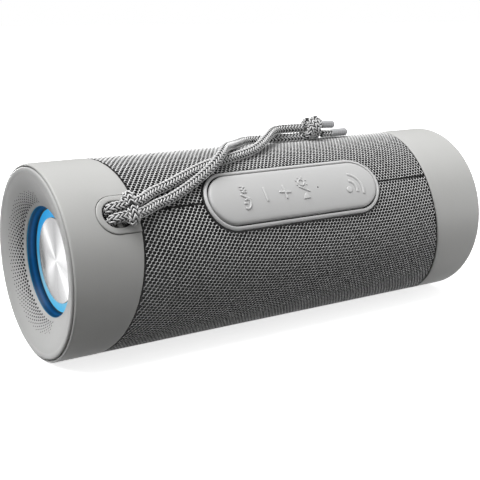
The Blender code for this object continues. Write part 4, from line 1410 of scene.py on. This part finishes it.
def feet():
    """A ribbed rubber pad under each cap."""
    count, foot_x = 64, 92.3
    profile = [(0.0, 37.2), (0, 37.45), (-0.06, 37.62), (-0.22, 37.73), (-0.5, 37.75)]
    profile += [(-1.0, 37.75), (-1.15, 37.55), (-1.45, 37.55), (-1.6, 37.75), (-2.2, 37.75)]
    profile += [(-2.35, 37.55), (-2.65, 37.55), (-2.8, 37.75), (-4.35, 37.75)]
    base, normals = stadium(4.5, 4.4, count)
    for side, name in SIDES.items():
        rows = [on_plane(base + normals * offset + (side * foot_x, 0), out, 180.0) for offset, out in profile]
        last = (len(rows) - 1) * count
        faces = grid_faces(len(rows), count) + [tuple(range(last, last + count)), tuple(range(count))[::-1]]
        pad = weld_mesh(f"{name}_foot", np.concatenate(rows), faces, RUBBER, 40)
        show(pad, f"{name}_foot_pad")


port()
feet()

# ---------------------------------------------------------------- the rest keeps its CAD shape

CAD_LOOKS = {
    "black_plastic": DARK, "steel": STEEL, "black_rubber": RUBBER, "grey_rubber": GREY_RUBBER,
    "cap_grey": CAP, "bezel_grey": BEZEL, "panel_grey": PANEL, "skin_grey": SKIN, "fabric_grey": FABRIC,
    "cord_grey": CORD, "tip_grey": TIP, "light_blue": LIGHT, "deep_blue": DEEP, "brushed_metal": DISC,
    "circuit_board": plastic("circuit_board", (0.01, 0.09, 0.035), 0.3, 0.1, 0.15),
    "paper_cone": thread("paper_cone", (0.03, 0.03, 0.03)),
    "battery_wrap": plastic("battery_wrap", (0.02, 0.08, 0.3), 0.3, 0.05),
}
for row in frame["record"]["subparts"]:
    node = frame["nodes"][row["node"]]
    for material_slot in node.material_slots:
        material_slot.material = CAD_LOOKS[row["material_slot"]]

# ---------------------------------------------------------------- studio


def place_light(data, place, direction):
    """A lamp at a place that shines in a direction."""
    obj = bpy.data.objects.new(data.name, data)
    obj.location = place
    obj.rotation_mode = "QUATERNION"
    obj.rotation_quaternion = Vector(direction).to_track_quat("-Z", "Y")
    bpy.context.scene.collection.objects.link(obj)
    return obj


def area_light(name, place, target, size, power):
    data = bpy.data.lights.new(name, "AREA")
    data.shape = "RECTANGLE"
    data.size, data.size_y = size
    data.energy = power
    return place_light(data, place, Vector(target) - Vector(place))


def white_floor():
    """Floor that glows a little, so that it is as white as the background."""
    reach, colour = 9000, (0.9, 0.9, 0.9)
    s = Shader("floor_white", colour, 0.9)
    s.link("Base Color", s.ramp(s.noise(3, 2), [(0.3, tint(colour, 0.99)), (0.7, colour)]))
    s.bsdf.inputs["Emission Color"].default_value = (*colour, 1)
    s.bsdf.inputs["Emission Strength"].default_value = 0.82
    corners = np.array([(-reach, -reach, 0), (reach, -reach, 0), (reach, reach, 0), (-reach, reach, 0)])
    floor = make_mesh("floor", corners, [(0, 1, 2, 3)], s.material, body=None, smooth=False)
    floor.visible_diffuse = False


def room():
    """A bright ceiling over dimmer walls and dark ground, which the camera itself sees as white."""
    world = bpy.data.worlds.new("studio")
    bpy.context.scene.world = world
    world.use_nodes = True
    w = Nodes(world.node_tree)
    way = w.add("ShaderNodeSeparateXYZ", Vector=w.add("ShaderNodeTexCoord").outputs["Generated"])
    level = w.share(way.outputs["Z"], -1.0, 1.0)
    light = w.ramp(level, [(0.0, 0.015), (0.5, 0.03), (0.65, 0.2), (0.85, 0.7)])
    seen = w.add("ShaderNodeLightPath").outputs["Is Camera Ray"]
    background = w.nodes["Background"]
    w.put(background.inputs["Color"], w.mix(seen, light, (1, 1, 1, 1)))
    background.inputs["Strength"].default_value = 1.0


def studio():
    white_floor()
    room()
    sun = bpy.data.lights.new("ceiling_sun", "SUN")
    sun.energy, sun.angle = 3.85, math.radians(45)
    place_light(sun, (0, 0, 0), (0.42, -0.03, -0.9))
    # two strips behind the left end, which its spun disc catches as fans
    for number, place in enumerate(((-0.80, 0.31, 0.25), (-0.01, 0.79, 0.09)), 1):
        strip = area_light(f"strip_{number}", place, (-0.09, 0, 0.04), (0.14, 0.14), 3.0)
        strip.visible_camera = strip.visible_diffuse = False
    area_light("fill", (0.34, -0.26, 0.05), (0.10, 0, 0.03), (0.22, 0.2), 0.55)
    scene = bpy.context.scene
    scene.view_settings.view_transform = "Standard"
    scene.view_settings.look = "None"


studio()
